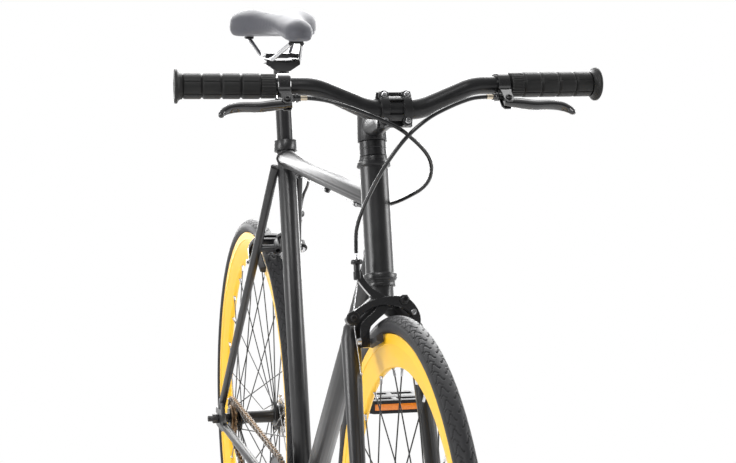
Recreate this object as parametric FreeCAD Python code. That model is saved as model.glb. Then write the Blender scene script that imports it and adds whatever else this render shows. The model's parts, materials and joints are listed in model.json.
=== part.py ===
import FreeCAD
import Part
import math
import os

# A fixed gear bike: steel frame and fork, riser bar, two dual-pivot brakes, deep rims, one ring and one cog.
# X points to the rider's left, Y to the rear and Z up. The origin lies on the ground midway between the wheels.
# Lengths are in millimetres and angles in degrees. Straight steering, left crank up.

# Flat sides round tapered and bent tubes, rails and small bolts
tube_sides = 16
rail_sides = 8
bolt_sides = 6

# Gaps
running_gap = 0.05      # radial play of a shaft in its bearing
fit_gap = 0.1           # radial play of a seated piece
clear_gap = 0.3         # curved or moving faces that pass each other

# Wheels
wheel_radius = 338.0
wheelbase = 990.0
tyre_width = 28.0
tyre_crown_share = 0.45     # of the width, on the ground
rim_radius = 316.0
rim_width = 22.0
rim_depth = 42.0
rim_nose = 9.0
brake_track = 13.0
spoke_count = 32
spoke_crossings = 3
spoke_thickness = 2.0
spoke_rim_offset = 1.5
valve_radius = 3.0
valve_length = 30.0

# Hubs and axles
hub_barrel_radius = 11.0
flange_thickness = 3.5
spoke_hole_inset = 4.0
axle_radius = 5.0
axle_nut_width = 15.0
axle_nut_height = 10.0
axle_stub = 8.0
front_hub_width = 100.0
front_flange_spacing = 66.0
front_flange_radius = 20.0
front_collar_radius = 12.0
front_collar_end = 43.0
rear_hub_width = 120.0
rear_flange_spacing = 62.0
rear_flange_radius = 25.0
hub_thread_radius = 17.0
hub_thread_end = 49.0

# Chain drive
chain_pitch = 12.7
chain_links = 94
ring_teeth = 44
cog_teeth = 16
chain_line = 42.0
sprocket_thickness = 3.0
roller_radius = 3.88
roller_width = 3.2
plate_thickness = 1.0
plate_height = 8.2
plate_end = 3.8
plate_play = 0.1
tooth_height = 3.4
tooth_gap_depth = 4.1
tooth_gap_floor = 5.8       # width of the flat floor between two teeth
tooth_gap_mouth = 10.3      # width between two tips
ring_bore_radius = 58.0
lockring_radius = 22.0
lockring_width = 4.0
freewheel_core_radius = 19.0

# Cranks and pedals
crank_length = 165.0
crank_angle = 90.0          # of the left crank, up from straight ahead
crank_thickness = 14.0
crank_boss_radius = 17.0
crank_eye_radius = 13.0
crank_inner_face = 56.0
spider_arms = 5
spider_reach = 70.0
spider_arm_width = 15.0
spider_thickness = 4.5
bottom_spindle_radius = 8.5
pedal_spindle_radius = 5.0
pedal_inner_end = 86.0
pedal_length = 94.0
pedal_depth = 68.0
pedal_height = 20.0
pedal_barrel_radius = 11.0
pedal_rail = 11.0
pedal_corner = 12.0
reflector_length = 68.0
reflector_height = 10.0
reflector_depth = 4.0

# Frame
bottom_bracket_drop = 61.0
seat_angle = 73.6
seat_tube_length = 574.0    # from the bottom bracket to the open top
seat_tube_radius = 14.3
head_angle = 74.5
head_tube_length = 137.0
head_tube_radius = 18.3
head_tube_wall = 1.6
top_tube_front_drop = 40.5  # below the head tube's top, along it
top_tube_rear_drop = 25.7   # below the seat tube's top, along it
top_tube_radius = 14.3
down_tube_radius = 15.9
down_tube_drop = 105.0      # below the head tube's top, along it
shell_radius = 20.0
shell_width = 68.0
shell_bore = 16.5
cup_flange_radius = 19.0
cup_flange_width = 3.0
chain_stay_start = 20.0     # half the spread of the stays at the bottom bracket
chain_stay_radius = 9.0
chain_stay_end_radius = 6.5
seat_stay_spread = 18.0     # half the spread at the seat tube
seat_stay_drop = 39.0       # below the seat tube's top, along it
seat_stay_radius = 7.5
seat_stay_end_radius = 6.0
track_end_thickness = 7.0
track_end_reach = 44.0
track_end_tail = 26.0
track_end_half_height = 16.0
axle_slot_play = 0.1
bridge_radius = 6.0
brake_boss_radius = 8.0
brake_boss_length = 13.0
cable_stop_radius = 4.0
cable_stop_length = 11.0
cable_stop_rears = (-216.0, -40.0, 151.0)

# Headset, fork, stem and bar
fork_length = 387.0         # from the axle to the crown, in a straight line
fork_rake = 42.0
lower_stack = 13.0
upper_stack = 14.0
cup_radius = 22.0
steerer_radius = 14.3
crown_radius = 16.0
crown_height = 34.0
crown_race_radius = 19.0
crown_race_height = 4.0
blade_top_radius = 12.5
blade_tip_radius = 8.0
blade_shoulder = 43.0       # half the spread below the crown
blade_shoulder_drop = 58.0
blade_root_drop = 20.0
blade_bend = 30.0
fork_tip_thickness = 6.0
fork_tip_height = 34.0
fork_tip_half_width = 11.0
spacer_count = 2
spacer_height = 10.0
spacer_radius = 17.0
stem_length = 118.0
stem_height = 36.0          # of the clamp on the steerer
stem_clamp_radius = 19.0
stem_radius = 15.0
bar_clamp_width = 44.0
bar_clamp_radius = 18.7
bar_clamp_lug = 21.5
bar_clamp_lug_depth = 8.0
faceplate_gap = 1.0
faceplate_window = 18.0
cap_height = 5.0
bar_radius = 11.1
bar_centre_radius = 12.7
bar_centre_length = 64.0
bar_rise = 29.0
bar_bend_start = 33.0
bar_bend_end = 100.0
bar_bend_radius = 62.0
bar_half_width = 266.0
bar_sweep = 6.0

# Grips and levers
grip_start = 148.0
grip_radius = 15.6
grip_collar_radius = 15.0
grip_collar_length = 18.0
grip_flange_radius = 21.0
grip_flange_width = 6.0
grip_cap = 4.0
lever_clamp_place = 138.0   # from the middle of the bike
lever_clamp_width = 17.0
lever_clamp_radius = 15.5
lever_drop_angle = 35.0     # below straight ahead
lever_pivot_reach = 33.0
lever_pivot_inset = 2.0
lever_pivot_radius = 3.0
lever_body_thickness = 15.0
lever_blade_thickness = 9.0
lever_blade_length = 78.0
lever_blade_width = 10.0
adjuster_radius = 5.0
adjuster_length = 6.0
adjuster_reach = 23.0

# Brakes, in each caliper's own axes: right, up and out, from the bolt's seat
brake_bolt_drop = 27.0      # below the crown, along the steering axis
brake_bolt_radius = 4.0
bracket_thickness = 4.0
arm_thickness = 7.0
arch_thickness = 8.0
arch_pivot_right = 20.0
arch_pivot_up = 2.0
arch_pivot_radius = 3.5
pivot_head_radius = 6.5
pivot_head_height = 3.0
brake_reach = 48.0
pad_gap = 2.4
pad_thickness = 9.0
pad_height = 11.0
pad_length = 52.0
pad_stem_radius = 5.0
pad_stem_length = 2.5
arm_foot_width = 12.0
arm_foot_overrun = 8.0
brake_adjuster_left = 36.0
brake_adjuster_up = 46.0
brake_barrel = 16.0
brake_knob_radius = 7.0
brake_knob_height = 5.0
anchor_left = 48.0
anchor_drop = 20.0
anchor_radius = 9.0
anchor_height = 5.0

# Seat
seatpost_radius = 12.7
seatpost_inside = 115.0
seatpost_above = 129.0
collar_radius = 18.0
collar_height = 16.0
collar_lip = 2.0
collar_lug = 15.0
collar_slit = 2.0
cradle_width = 54.0
cradle_length = 40.0
cradle_thickness = 6.0
cradle_neck = 14.0
rail_radius = 3.5
rail_spread = 22.0          # half the spread of the rails at the clamp
rail_clamp_length = 90.0
rail_rise = 30.0
rail_seat = 1.3             # of the saddle's foot above the axis of the rails' ends
clamp_plate_thickness = 5.0
saddle_width = 140.0
saddle_length = 276.0
saddle_nose_width = 44.0
saddle_tail = 112.0         # behind the clamp
saddle_height = 46.0
saddle_dip = 9.0
saddle_nose_height = 34.0

# Brake cables
housing_radius = 2.5
wire_radius = 0.8
cable_sides = 6
cable_lead = 22.0           # straight housing at its ends
brake_lead = 30.0           # straight housing above a brake
cable_tail = 62.0

x_axis = FreeCAD.Vector(1, 0, 0)
y_axis = FreeCAD.Vector(0, 1, 0)
z_axis = FreeCAD.Vector(0, 0, 1)
ground = FreeCAD.Vector(0, 0, 0)


def point(x, y, z):
    return FreeCAD.Vector(x, y, z)


def unit(vector):
    return FreeCAD.Vector(vector).normalize()


def leaning(angle):
    # A direction that rises to the rear at an angle from the level.
    turn = math.radians(angle)
    return point(0, math.cos(turn), math.sin(turn))


def solid_of(shape):
    # The main solid that a cut or a join leaves.
    return max(shape.removeSplitter().Solids, key=lambda solid: solid.Volume)


def mirrored(shape):
    return shape.mirror(ground, x_axis)


def both_sides(left):
    return [left, mirrored(left)]


def rod(start, end, radius):
    run = end - start
    return Part.makeCylinder(radius, run.Length, start, run)


def prism(corners, run):
    return Part.Face(Part.makePolygon(corners + [corners[0]])).extrude(run)


def slab(outline, low, high):
    # A flat outline in the local X and Y, between two heights in the local Z.
    return prism([point(x, y, low) for x, y in outline], point(0, 0, high - low))


def hexagon(centre, width, run):
    across = width / math.sqrt(3)
    side = unit(run.cross(x_axis) if abs(unit(run).x) < 0.9 else run.cross(z_axis))
    up = unit(run.cross(side))
    turns = [math.radians(60 * k) for k in range(6)]
    return prism([centre + side * (across * math.cos(t)) + up * (across * math.sin(t)) for t in turns], run)


def lathe(outline):
    # Turns an outline of places along X and radii about the X axis.
    corners = [point(along, 0, radius) for along, radius in outline]
    turned = Part.Face(Part.makePolygon(corners + [corners[0]])).revolve(ground, x_axis, 360)
    return Part.Solid(turned)


def placed(shape, origin, right, up, out):
    # Moves a shape from local X, Y and Z to an origin and three directions.
    rows = []
    for name in ("x", "y", "z"):
        rows += [getattr(right, name), getattr(up, name), getattr(out, name), getattr(origin, name)]
    moved = shape.copy()
    moved.Placement = FreeCAD.Placement(FreeCAD.Matrix(*rows, 0, 0, 0, 1)).multiply(moved.Placement)
    return moved


def strip(stations):
    # The outline of a bent bar, from places on its middle line and its width at each.
    left = []
    right = []
    for number, (x, y, width) in enumerate(stations):
        before = stations[max(number - 1, 0)]
        after = stations[min(number + 1, len(stations) - 1)]
        run = unit(point(after[0] - before[0], after[1] - before[1], 0))
        left.append((x - run.y * width / 2, y + run.x * width / 2))
        right.append((x + run.y * width / 2, y - run.x * width / 2))
    return left + right[::-1]


def link_plate(start, start_radius, end, end_radius, low, high):
    # Two round ends joined by their tangents, in the local X and Y.
    run = point(end[0] - start[0], end[1] - start[1], 0)
    heading = math.atan2(run.y, run.x)
    lean = math.acos((start_radius - end_radius) / run.Length)

    def rim(centre, radius, angle):
        return point(centre[0] + radius * math.cos(angle), centre[1] + radius * math.sin(angle), low)

    start_up = rim(start, start_radius, heading + lean)
    start_down = rim(start, start_radius, heading - lean)
    end_up = rim(end, end_radius, heading + lean)
    end_down = rim(end, end_radius, heading - lean)
    edges = [
        Part.LineSegment(start_up, end_up).toShape(),
        Part.Arc(end_up, rim(end, end_radius, heading), end_down).toShape(),
        Part.LineSegment(end_down, start_down).toShape(),
        Part.Arc(start_down, rim(start, start_radius, heading + math.pi), start_up).toShape(),
    ]
    return Part.Face(Part.Wire(edges)).extrude(point(0, 0, high - low))


def rounded_path(corners, tangents):
    # Straight runs joined by arcs. Each inner corner gives up its tangent length on both sides.
    edges = []
    radii = []
    start = corners[0]
    for number in range(1, len(corners) - 1):
        corner = corners[number]
        into = unit(corner - corners[number - 1])
        away = unit(corners[number + 1] - corner)
        half_turn = into.getAngle(away) / 2
        tangent = tangents[number - 1]
        radius = tangent / math.tan(half_turn)
        inward = unit(away - into)
        arc_start = corner - into * tangent
        arc_end = corner + away * tangent
        arc_middle = corner + inward * (radius / math.cos(half_turn) - radius)
        if (arc_start - start).Length > 0.01:
            edges.append(Part.LineSegment(start, arc_start).toShape())
        edges.append(Part.Arc(arc_start, arc_middle, arc_end).toShape())
        radii.append(radius)
        start = arc_end
    edges.append(Part.LineSegment(start, corners[-1]).toShape())
    return Part.Wire(edges), radii


def flat_tube(places, radii, sides):
    # A bent or tapered tube with flat sides through places on its axis, mitred at each inner place.
    headings = [unit(after - before) for before, after in zip(places, places[1:])]
    guide = z_axis if abs(headings[0].z) < 0.7 else x_axis
    side = unit(headings[0].cross(guide))
    up = headings[0].cross(side)
    turns = [2 * math.pi * (k + 0.5) / sides for k in range(sides)]
    rings = [[places[0] + (side * math.cos(t) + up * math.sin(t)) * radii[0] for t in turns]]
    for number, heading in enumerate(headings):
        following = headings[min(number + 1, len(headings) - 1)]
        mitre = heading + following
        ring = []
        for spot in rings[-1]:
            offset = spot - places[number]
            offset = (offset - heading * offset.dot(heading)) * (radii[number + 1] / radii[number])
            ring.append(places[number + 1] + offset - heading * (offset.dot(mitre) / heading.dot(mitre)))
        rings.append(ring)
    faces = []
    for ring, other in zip(rings, rings[1:]):
        for k in range(sides):
            near, far = ring[(k + 1) % sides], other[(k + 1) % sides]
            for corners in ([ring[k], near, far], [ring[k], far, other[k]]):
                faces.append(Part.Face(Part.makePolygon(corners + [corners[0]])))
    for ring in (rings[0], rings[-1]):
        faces.append(Part.Face(Part.makePolygon(ring + [ring[0]])))
    return solid_of(Part.Solid(Part.Shell(faces)))


def flat_rod(start, end, radius, sides):
    return flat_tube([start, end], [radius, radius], sides)


def bend_places(corners, bend_radius):
    # Places on a path whose inner corners are bent: where each bend starts, its middle and where it ends.
    places = [corners[0]]
    for before, corner, after in zip(corners, corners[1:], corners[2:]):
        into = unit(corner - before)
        away = unit(after - corner)
        half_turn = into.getAngle(away) / 2
        tangent = bend_radius * math.tan(half_turn)
        middle = corner + unit(away - into) * (bend_radius / math.cos(half_turn) - bend_radius)
        places += [corner - into * tangent, middle, corner + away * tangent]
    return places + [corners[-1]]


def cord(name, corners, radius):
    # A cable along a hand-made route, with each arc as large as its runs allow.
    runs = [(after - before).Length for before, after in zip(corners, corners[1:])]
    tangents = [0.45 * min(pair) for pair in zip(runs, runs[1:])]
    path, radii = rounded_path(corners, tangents)
    heading = unit(corners[1] - corners[0])
    side = unit(heading.cross(z_axis))
    up = heading.cross(side)
    turns = [2 * math.pi * k / cable_sides for k in range(cable_sides)]
    ring = [corners[0] + side * (radius * math.cos(t)) + up * (radius * math.sin(t)) for t in turns]
    tube = path.makePipeShell([Part.makePolygon(ring + [ring[0]])], True, False)
    area = Part.Face(Part.makePolygon(ring + [ring[0]])).Area
    print(name, "length", round(path.Length, 1), "radii", [round(r) for r in radii],
          "volume share", round(tube.Volume / (area * path.Length), 4))
    return tube


def save(node, *solids):
    Part.makeCompound(list(solids)).exportStep("parts/" + node + ".step")


# Chain: the rollers lie one pitch apart on the two pitch circles and their tangents.
# Half a chain runs from the ring's front to the cog's rear, and the stay length makes it come out even.
ring_pitch_radius = chain_pitch / (2 * math.sin(math.pi / ring_teeth))
cog_pitch_radius = chain_pitch / (2 * math.sin(math.pi / cog_teeth))


def half_chain(distance):
    slope = math.asin((ring_pitch_radius - cog_pitch_radius) / distance)
    leave = math.pi / 2 - slope
    places = []
    angle = math.pi
    while angle >= leave:
        places.append((ring_pitch_radius * math.cos(angle), ring_pitch_radius * math.sin(angle)))
        angle -= 2 * math.pi / ring_teeth
    line_start = (ring_pitch_radius * math.cos(leave), ring_pitch_radius * math.sin(leave))
    heading = (math.cos(slope), -math.sin(slope))
    back = (places[-1][0] - line_start[0], places[-1][1] - line_start[1])
    behind = back[0] * heading[0] + back[1] * heading[1]
    along = behind + math.sqrt(behind ** 2 - back[0] ** 2 - back[1] ** 2 + chain_pitch ** 2)
    while along <= distance * math.cos(slope):
        places.append((line_start[0] + along * heading[0], line_start[1] + along * heading[1]))
        along += chain_pitch
    reach = math.hypot(places[-1][0] - distance, places[-1][1])
    bearing = math.atan2(places[-1][1], places[-1][0] - distance)
    cosine = (reach ** 2 + cog_pitch_radius ** 2 - chain_pitch ** 2) / (2 * reach * cog_pitch_radius)
    angle = bearing - math.acos(cosine)
    while len(places) < chain_links // 2:
        places.append((distance + cog_pitch_radius * math.cos(angle), cog_pitch_radius * math.sin(angle)))
        angle -= 2 * math.pi / cog_teeth
    return places + [(distance + cog_pitch_radius, 0)], angle


def even_stay_length():
    guess = chain_pitch * (chain_links - (ring_teeth + cog_teeth) / 2) / 2
    low = guess - 2 * chain_pitch
    high = guess + 2 * chain_pitch
    for step in range(60):
        middle = (low + high) / 2
        if half_chain(middle)[1] > 0:
            high = middle
        else:
            low = middle
    return middle


chain_stay_length = even_stay_length()

# Main points of the frame
front_axle = point(0, -wheelbase / 2, wheel_radius)
rear_axle = point(0, wheelbase / 2, wheel_radius)
stay_run = math.sqrt(chain_stay_length ** 2 - bottom_bracket_drop ** 2)
bottom_bracket = rear_axle - point(0, stay_run, bottom_bracket_drop)
seat_axis = leaning(seat_angle)
seat_tube_top = bottom_bracket + seat_axis * seat_tube_length
steer_axis = leaning(head_angle)
steer_front = steer_axis.cross(x_axis).negative()
crown = front_axle - steer_front * fork_rake + steer_axis * math.sqrt(fork_length ** 2 - fork_rake ** 2)
head_bottom = crown + steer_axis * lower_stack
head_top = head_bottom + steer_axis * head_tube_length
stem_middle = head_top + steer_axis * (upper_stack + spacer_count * spacer_height + stem_height / 2)
bar_centre = stem_middle + steer_front * stem_length
steerer_top = stem_middle + steer_axis * (stem_height / 2)
stay_heading = unit(rear_axle - bottom_bracket)
stay_up = x_axis.cross(stay_heading)


top_tube_front = head_top - steer_axis * top_tube_front_drop
top_tube_rear = seat_tube_top - seat_axis * top_tube_rear_drop
top_tube_way = unit(top_tube_rear - top_tube_front)
under_top_tube = top_tube_way.cross(x_axis)
down_tube_front = head_top - steer_axis * down_tube_drop


# Frame tubes, each cut to the tube that it meets
head_blank = rod(head_bottom, head_top, head_tube_radius)
seat_blank = rod(bottom_bracket, seat_tube_top, seat_tube_radius)
shell_blank = rod(bottom_bracket - x_axis * (shell_width / 2), bottom_bracket + x_axis * (shell_width / 2),
                  shell_radius)


def make_head_tube():
    return head_blank.cut(rod(head_bottom, head_top, head_tube_radius - head_tube_wall))


def make_top_tube():
    tube = rod(top_tube_front, top_tube_rear, top_tube_radius).cut(head_blank).cut(seat_blank)
    return solid_of(tube)


def cable_line(place):
    # A spot on the cable's line under the top tube, at a place along the bike.
    share = (place - top_tube_front.y) / (top_tube_rear.y - top_tube_front.y)
    spot = top_tube_front + (top_tube_rear - top_tube_front) * share
    return spot + under_top_tube * (top_tube_radius + cable_stop_radius)


def make_cable_stop(place):
    start = cable_line(place) - top_tube_way * (cable_stop_length / 2)
    run = top_tube_way * cable_stop_length
    stop = flat_rod(start, start + run, cable_stop_radius, rail_sides)
    web = Part.makeBox(cable_stop_radius, cable_stop_length, cable_stop_radius + top_tube_radius / 2,
                       point(-cable_stop_radius / 2, 0, 0))
    web = placed(web, start, x_axis, top_tube_way, under_top_tube.negative())
    tube = rod(top_tube_front, top_tube_rear, top_tube_radius)
    wire_way = flat_rod(start, start + run, wire_radius + clear_gap, bolt_sides)
    return solid_of(stop.fuse(web).cut(wire_way).cut(tube))


def make_down_tube():
    tube = rod(down_tube_front, bottom_bracket, down_tube_radius)
    return solid_of(tube.cut(head_blank).cut(shell_blank).cut(seat_blank))


def make_seat_tube():
    bore = rod(bottom_bracket, seat_tube_top, seatpost_radius + running_gap)
    return solid_of(seat_blank.cut(shell_blank).cut(bore))


def make_shell():
    half = x_axis * (shell_width / 2)
    return shell_blank.cut(rod(bottom_bracket - half, bottom_bracket + half, shell_bore))


def make_bottom_cup():
    inner = bottom_spindle_radius + running_gap
    start = shell_width / 4
    face = shell_width / 2
    outline = [(start, inner), (start, shell_bore - fit_gap), (face, shell_bore - fit_gap)]
    outline += [(face, cup_flange_radius), (face + cup_flange_width, cup_flange_radius)]
    outline += [(face + cup_flange_width, inner)]
    return lathe(outline).translated(bottom_bracket)


def track_end_outline():
    # In the plane of the plate: rearwards and upwards from the axle, with the slot open to the rear.
    slot = axle_radius + axle_slot_play
    half = track_end_half_height
    top = [(track_end_tail, slot), (track_end_tail, half - 5), (track_end_tail - 5, half), (4, half + 1)]
    tab = [(-6, half + 20), (-20, half + 16), (-track_end_reach + 8, 6)]
    front = [(-track_end_reach, 2), (-track_end_reach, -11), (-track_end_reach + 12, -half)]
    bottom = [(track_end_tail - 5, -half), (track_end_tail, -half + 5), (track_end_tail, -slot)]
    slot_end = [(-slot, -slot), (-2 * slot, 0), (-slot, slot)]
    return top + tab + front + bottom + slot_end


def make_track_end():
    inner = rear_hub_width / 2
    plate = slab(track_end_outline(), inner, inner + track_end_thickness)
    return placed(plate, rear_axle, y_axis, z_axis, x_axis)


def make_chain_stay(track_end):
    middle = rear_hub_width / 2 + track_end_thickness / 2
    start = bottom_bracket + x_axis * chain_stay_start
    end = rear_axle - stay_heading * (track_end_reach - 14) + x_axis * middle
    stay = flat_tube([start, end], [chain_stay_radius, chain_stay_end_radius], tube_sides)
    return solid_of(stay.cut(shell_blank).cut(track_end))


stay_top = seat_tube_top - seat_axis * seat_stay_drop + x_axis * seat_stay_spread
stay_foot = rear_axle + point(rear_hub_width / 2 + track_end_thickness / 2, -9, track_end_half_height + 4)


def seat_stay_blank():
    return flat_tube([stay_top, stay_foot], [seat_stay_radius, seat_stay_end_radius], tube_sides)


def make_seat_stay(track_end):
    return solid_of(seat_stay_blank().cut(seat_blank).cut(track_end))


# The rear brake sits on a bridge between the stays, at the brake's reach above the track on the rim
brake_bolt_above_axle = rim_radius - brake_track / 2 + brake_reach
stay_slope = unit(point(0, stay_top.y - stay_foot.y, stay_top.z - stay_foot.z))
rear_brake_up = stay_slope
rear_brake_out = rear_brake_up.cross(x_axis)
foot_middle_plane = point(0, stay_foot.y, stay_foot.z)
axle_ahead = (rear_axle - foot_middle_plane).dot(stay_slope)
axle_beside = (rear_axle - foot_middle_plane).dot(rear_brake_out)
bridge_middle = foot_middle_plane + stay_slope * (
    axle_ahead + math.sqrt(brake_bolt_above_axle ** 2 - axle_beside ** 2))
rear_brake_seat = bridge_middle + rear_brake_out * brake_boss_length
front_bolt = crown - steer_axis * brake_bolt_drop
front_brake_seat = front_bolt + steer_front * (crown_radius + 2)


def make_bridge():
    share = (bridge_middle.z - stay_foot.z) / (stay_top.z - stay_foot.z)
    half = x_axis * (stay_foot.x + (stay_top.x - stay_foot.x) * share)
    bar = rod(bridge_middle - half, bridge_middle + half, bridge_radius)
    boss = rod(bridge_middle - rear_brake_out * (bridge_radius + 1), rear_brake_seat, brake_boss_radius)
    hole = rod(bridge_middle - rear_brake_out * brake_boss_length, rear_brake_seat, brake_bolt_radius + fit_gap)
    bridge = bar.fuse(boss).cut(hole)
    for stay in both_sides(seat_stay_blank()):
        bridge = bridge.cut(stay)
    return solid_of(bridge)


def make_seat_collar():
    start = seat_tube_top - seat_axis * (collar_height - collar_lip)
    end = seat_tube_top + seat_axis * collar_lip
    behind = seat_axis.cross(x_axis)
    lug_axes = (start + behind * collar_radius, behind, x_axis.negative(), seat_axis)
    lug = Part.makeBox(collar_lug, collar_lug, collar_height, point(-collar_lug / 2, -collar_lug / 2, 0))
    ring = rod(start, end, collar_radius).fuse(placed(lug, *lug_axes))
    ring = ring.cut(rod(start, seat_tube_top, seat_tube_radius + running_gap))
    ring = ring.cut(rod(start, end, seatpost_radius + clear_gap))
    slit = Part.makeBox(2 * collar_radius, collar_slit, collar_height, point(-collar_radius, -collar_slit / 2, 0))
    return solid_of(ring.cut(placed(slit, *lug_axes)))


# Headset cups, turned about the steering axis
def on_steer(outline, base):
    return placed(lathe(outline), base, steer_axis, x_axis, steer_axis.cross(x_axis))


def steer_sleeve(low, high, radius, base):
    inner = steerer_radius + running_gap
    return on_steer([(low, inner), (low, radius), (high, radius), (high, inner)], base)


def make_upper_cup():
    return steer_sleeve(0, upper_stack - clear_gap, cup_radius, head_top)


def make_lower_cup():
    return steer_sleeve(-lower_stack + clear_gap, 0, cup_radius, head_bottom)


# Fork
def make_fork_crown():
    steerer = rod(crown, steerer_top, steerer_radius)
    race = rod(crown - steer_axis * crown_race_height, crown, crown_race_radius)
    body = rod(crown - steer_axis * crown_height, crown, crown_radius)
    boss = rod(front_bolt, front_brake_seat, brake_boss_radius)
    hole = rod(front_bolt - steer_front * (2 * crown_radius), front_brake_seat, brake_bolt_radius + fit_gap)
    return solid_of(steerer.fuse(race).fuse(body).fuse(boss).cut(hole))


blade_root = crown - steer_axis * blade_root_drop
blade_corner = crown - steer_axis * blade_shoulder_drop + x_axis * blade_shoulder
blade_foot = front_axle + x_axis * (front_hub_width / 2 + fork_tip_thickness / 2)
blade_heading = unit(blade_foot - blade_corner)


def fork_tip_outline():
    # In the plane of the plate: along the blade and across it, from the axle, with the slot open below.
    slot = axle_radius + axle_slot_play
    half = fork_tip_half_width
    foot = [(-half, slot), (-half, half - 3), (-half + 3, half), (half, half)]
    top = [(fork_tip_height, half - 4), (fork_tip_height, -half + 4)]
    back = [(half, -half), (-half + 3, -half), (-half, -half + 3), (-half, -slot)]
    slot_end = [(slot, -slot), (2 * slot, 0), (slot, slot)]
    return foot + top + back + slot_end


def make_fork_tip():
    inner = front_hub_width / 2
    up = unit(point(0, -blade_heading.y, -blade_heading.z))
    plate = slab(fork_tip_outline(), inner, inner + fork_tip_thickness)
    return placed(plate, front_axle, up, x_axis.cross(up), x_axis)


def make_fork_blade(crown_piece, tip):
    foot = blade_foot - blade_heading * (fork_tip_height - fork_tip_half_width)
    bends = bend_places([blade_root, blade_corner, foot], blade_bend)
    radii = [blade_top_radius] * (len(bends) - 1) + [blade_tip_radius]
    blade = flat_tube(bends, radii, tube_sides)
    left = Part.makeBox(fork_length, fork_length, fork_length, point(0, blade_foot.y - blade_bend, blade_foot.z))
    return solid_of(blade.common(left).cut(crown_piece).cut(tip))


# Stem, faceplate, spacers and cap: local X is to the left, Y up the steerer and Z forwards
def clamp_block():
    half = bar_clamp_width / 2
    barrel = rod(point(-half, 0, 0), point(half, 0, 0), bar_clamp_radius)
    lug = Part.makeBox(bar_clamp_width, 2 * bar_clamp_lug, 2 * bar_clamp_lug_depth,
                       point(-half, -bar_clamp_lug, -bar_clamp_lug_depth))
    bore = rod(point(-half, 0, 0), point(half, 0, 0), bar_centre_radius + running_gap)
    return barrel.fuse(lug).cut(bore)


def on_stem(shape):
    return placed(shape, bar_centre, x_axis, steer_axis, steer_front)


def make_stem():
    neck = rod(point(0, 0, -stem_length), ground, stem_radius)
    neck = neck.cut(rod(point(-50, 0, 0), point(50, 0, 0), bar_centre_radius + running_gap))
    half = stem_height / 2
    collar = rod(point(0, -half, -stem_length), point(0, half, -stem_length), stem_clamp_radius)
    body = neck.fuse(clamp_block()).common(Part.makeBox(100, 100, 300, point(-50, -50, -300)))
    body = body.fuse(collar)
    steerer = rod(point(0, -half, -stem_length), point(0, half, -stem_length), steerer_radius + running_gap)
    return on_stem(solid_of(body.cut(steerer)))


def make_faceplate():
    front = Part.makeBox(100, 100, 100, point(-50, -50, faceplate_gap))
    window = Part.makeBox(faceplate_window, faceplate_window, 100,
                          point(-faceplate_window / 2, -faceplate_window / 2, 0))
    notch_depth = bar_clamp_lug - bar_clamp_radius + 2
    plate = clamp_block().common(front).cut(window)
    for low in (-bar_clamp_lug, bar_clamp_lug - notch_depth):
        plate = plate.cut(Part.makeBox(faceplate_window / 2, notch_depth, 100,
                                       point(-faceplate_window / 4, low, 0)))
    return on_stem(solid_of(plate))


def make_spacer(number):
    low = upper_stack + number * spacer_height
    return steer_sleeve(low, low + spacer_height, spacer_radius, head_top)


def make_stem_cap():
    return rod(steerer_top, steerer_top + steer_axis * cap_height, spacer_radius)


# Handlebar: level at the clamp, up to the rise, then out and back to the grips
def bar_corners():
    sweep = math.radians(bar_sweep)
    end_run = (bar_half_width - bar_bend_end) / math.cos(sweep)
    inner = point(bar_bend_start, 0, 0)
    outer = point(bar_bend_end, 0, bar_rise)
    end = outer + point(math.cos(sweep), math.sin(sweep), 0) * end_run
    return [bar_centre + place for place in (inner, outer, end)]


def make_handlebar():
    inner, outer, end = bar_corners()
    left = [bar_centre, inner, outer, end]
    places = bend_places(left, bar_bend_radius)
    half = flat_tube(places, [bar_radius] * len(places), tube_sides)
    centre = x_axis * (bar_centre_length / 2)
    sleeve = rod(bar_centre - centre, bar_centre + centre, bar_centre_radius)
    return solid_of(sleeve.fuse(both_sides(half)))


# Local axes on the left bar end: X out along the bar, Y towards the lever, Z across the lever
bar_end_start = bar_corners()[1]
bar_out = unit(bar_corners()[2] - bar_end_start)
bar_ahead = unit(point(bar_out.y, -bar_out.x, 0))
lever_turn = math.radians(lever_drop_angle)
lever_way = bar_ahead * math.cos(lever_turn) - z_axis * math.sin(lever_turn)
lever_across = bar_out.cross(lever_way)


def along_bar(place):
    # Distance on the bar's end from the last bend, for a place measured across the bike.
    return (place - bar_bend_end) / bar_out.x


def on_bar(shape):
    return placed(shape, bar_end_start, bar_out, lever_way, lever_across)


def make_grip():
    start = along_bar(grip_start)
    bar_end = along_bar(bar_half_width)
    bore = bar_radius + running_gap
    collar = start + grip_collar_length
    flange = bar_end - grip_flange_width
    end = bar_end + grip_cap
    outline = [(start, bore), (start, grip_collar_radius), (collar, grip_collar_radius), (collar, grip_radius)]
    outline += [(flange, grip_radius), (flange, grip_flange_radius), (end, grip_flange_radius), (end, 0)]
    outline += [(bar_end, 0), (bar_end, bore)]
    return on_bar(lathe(outline))


lever_clamp_middle = along_bar(lever_clamp_place)
lever_pivot = (lever_clamp_middle - lever_pivot_inset, lever_pivot_reach)


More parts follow.
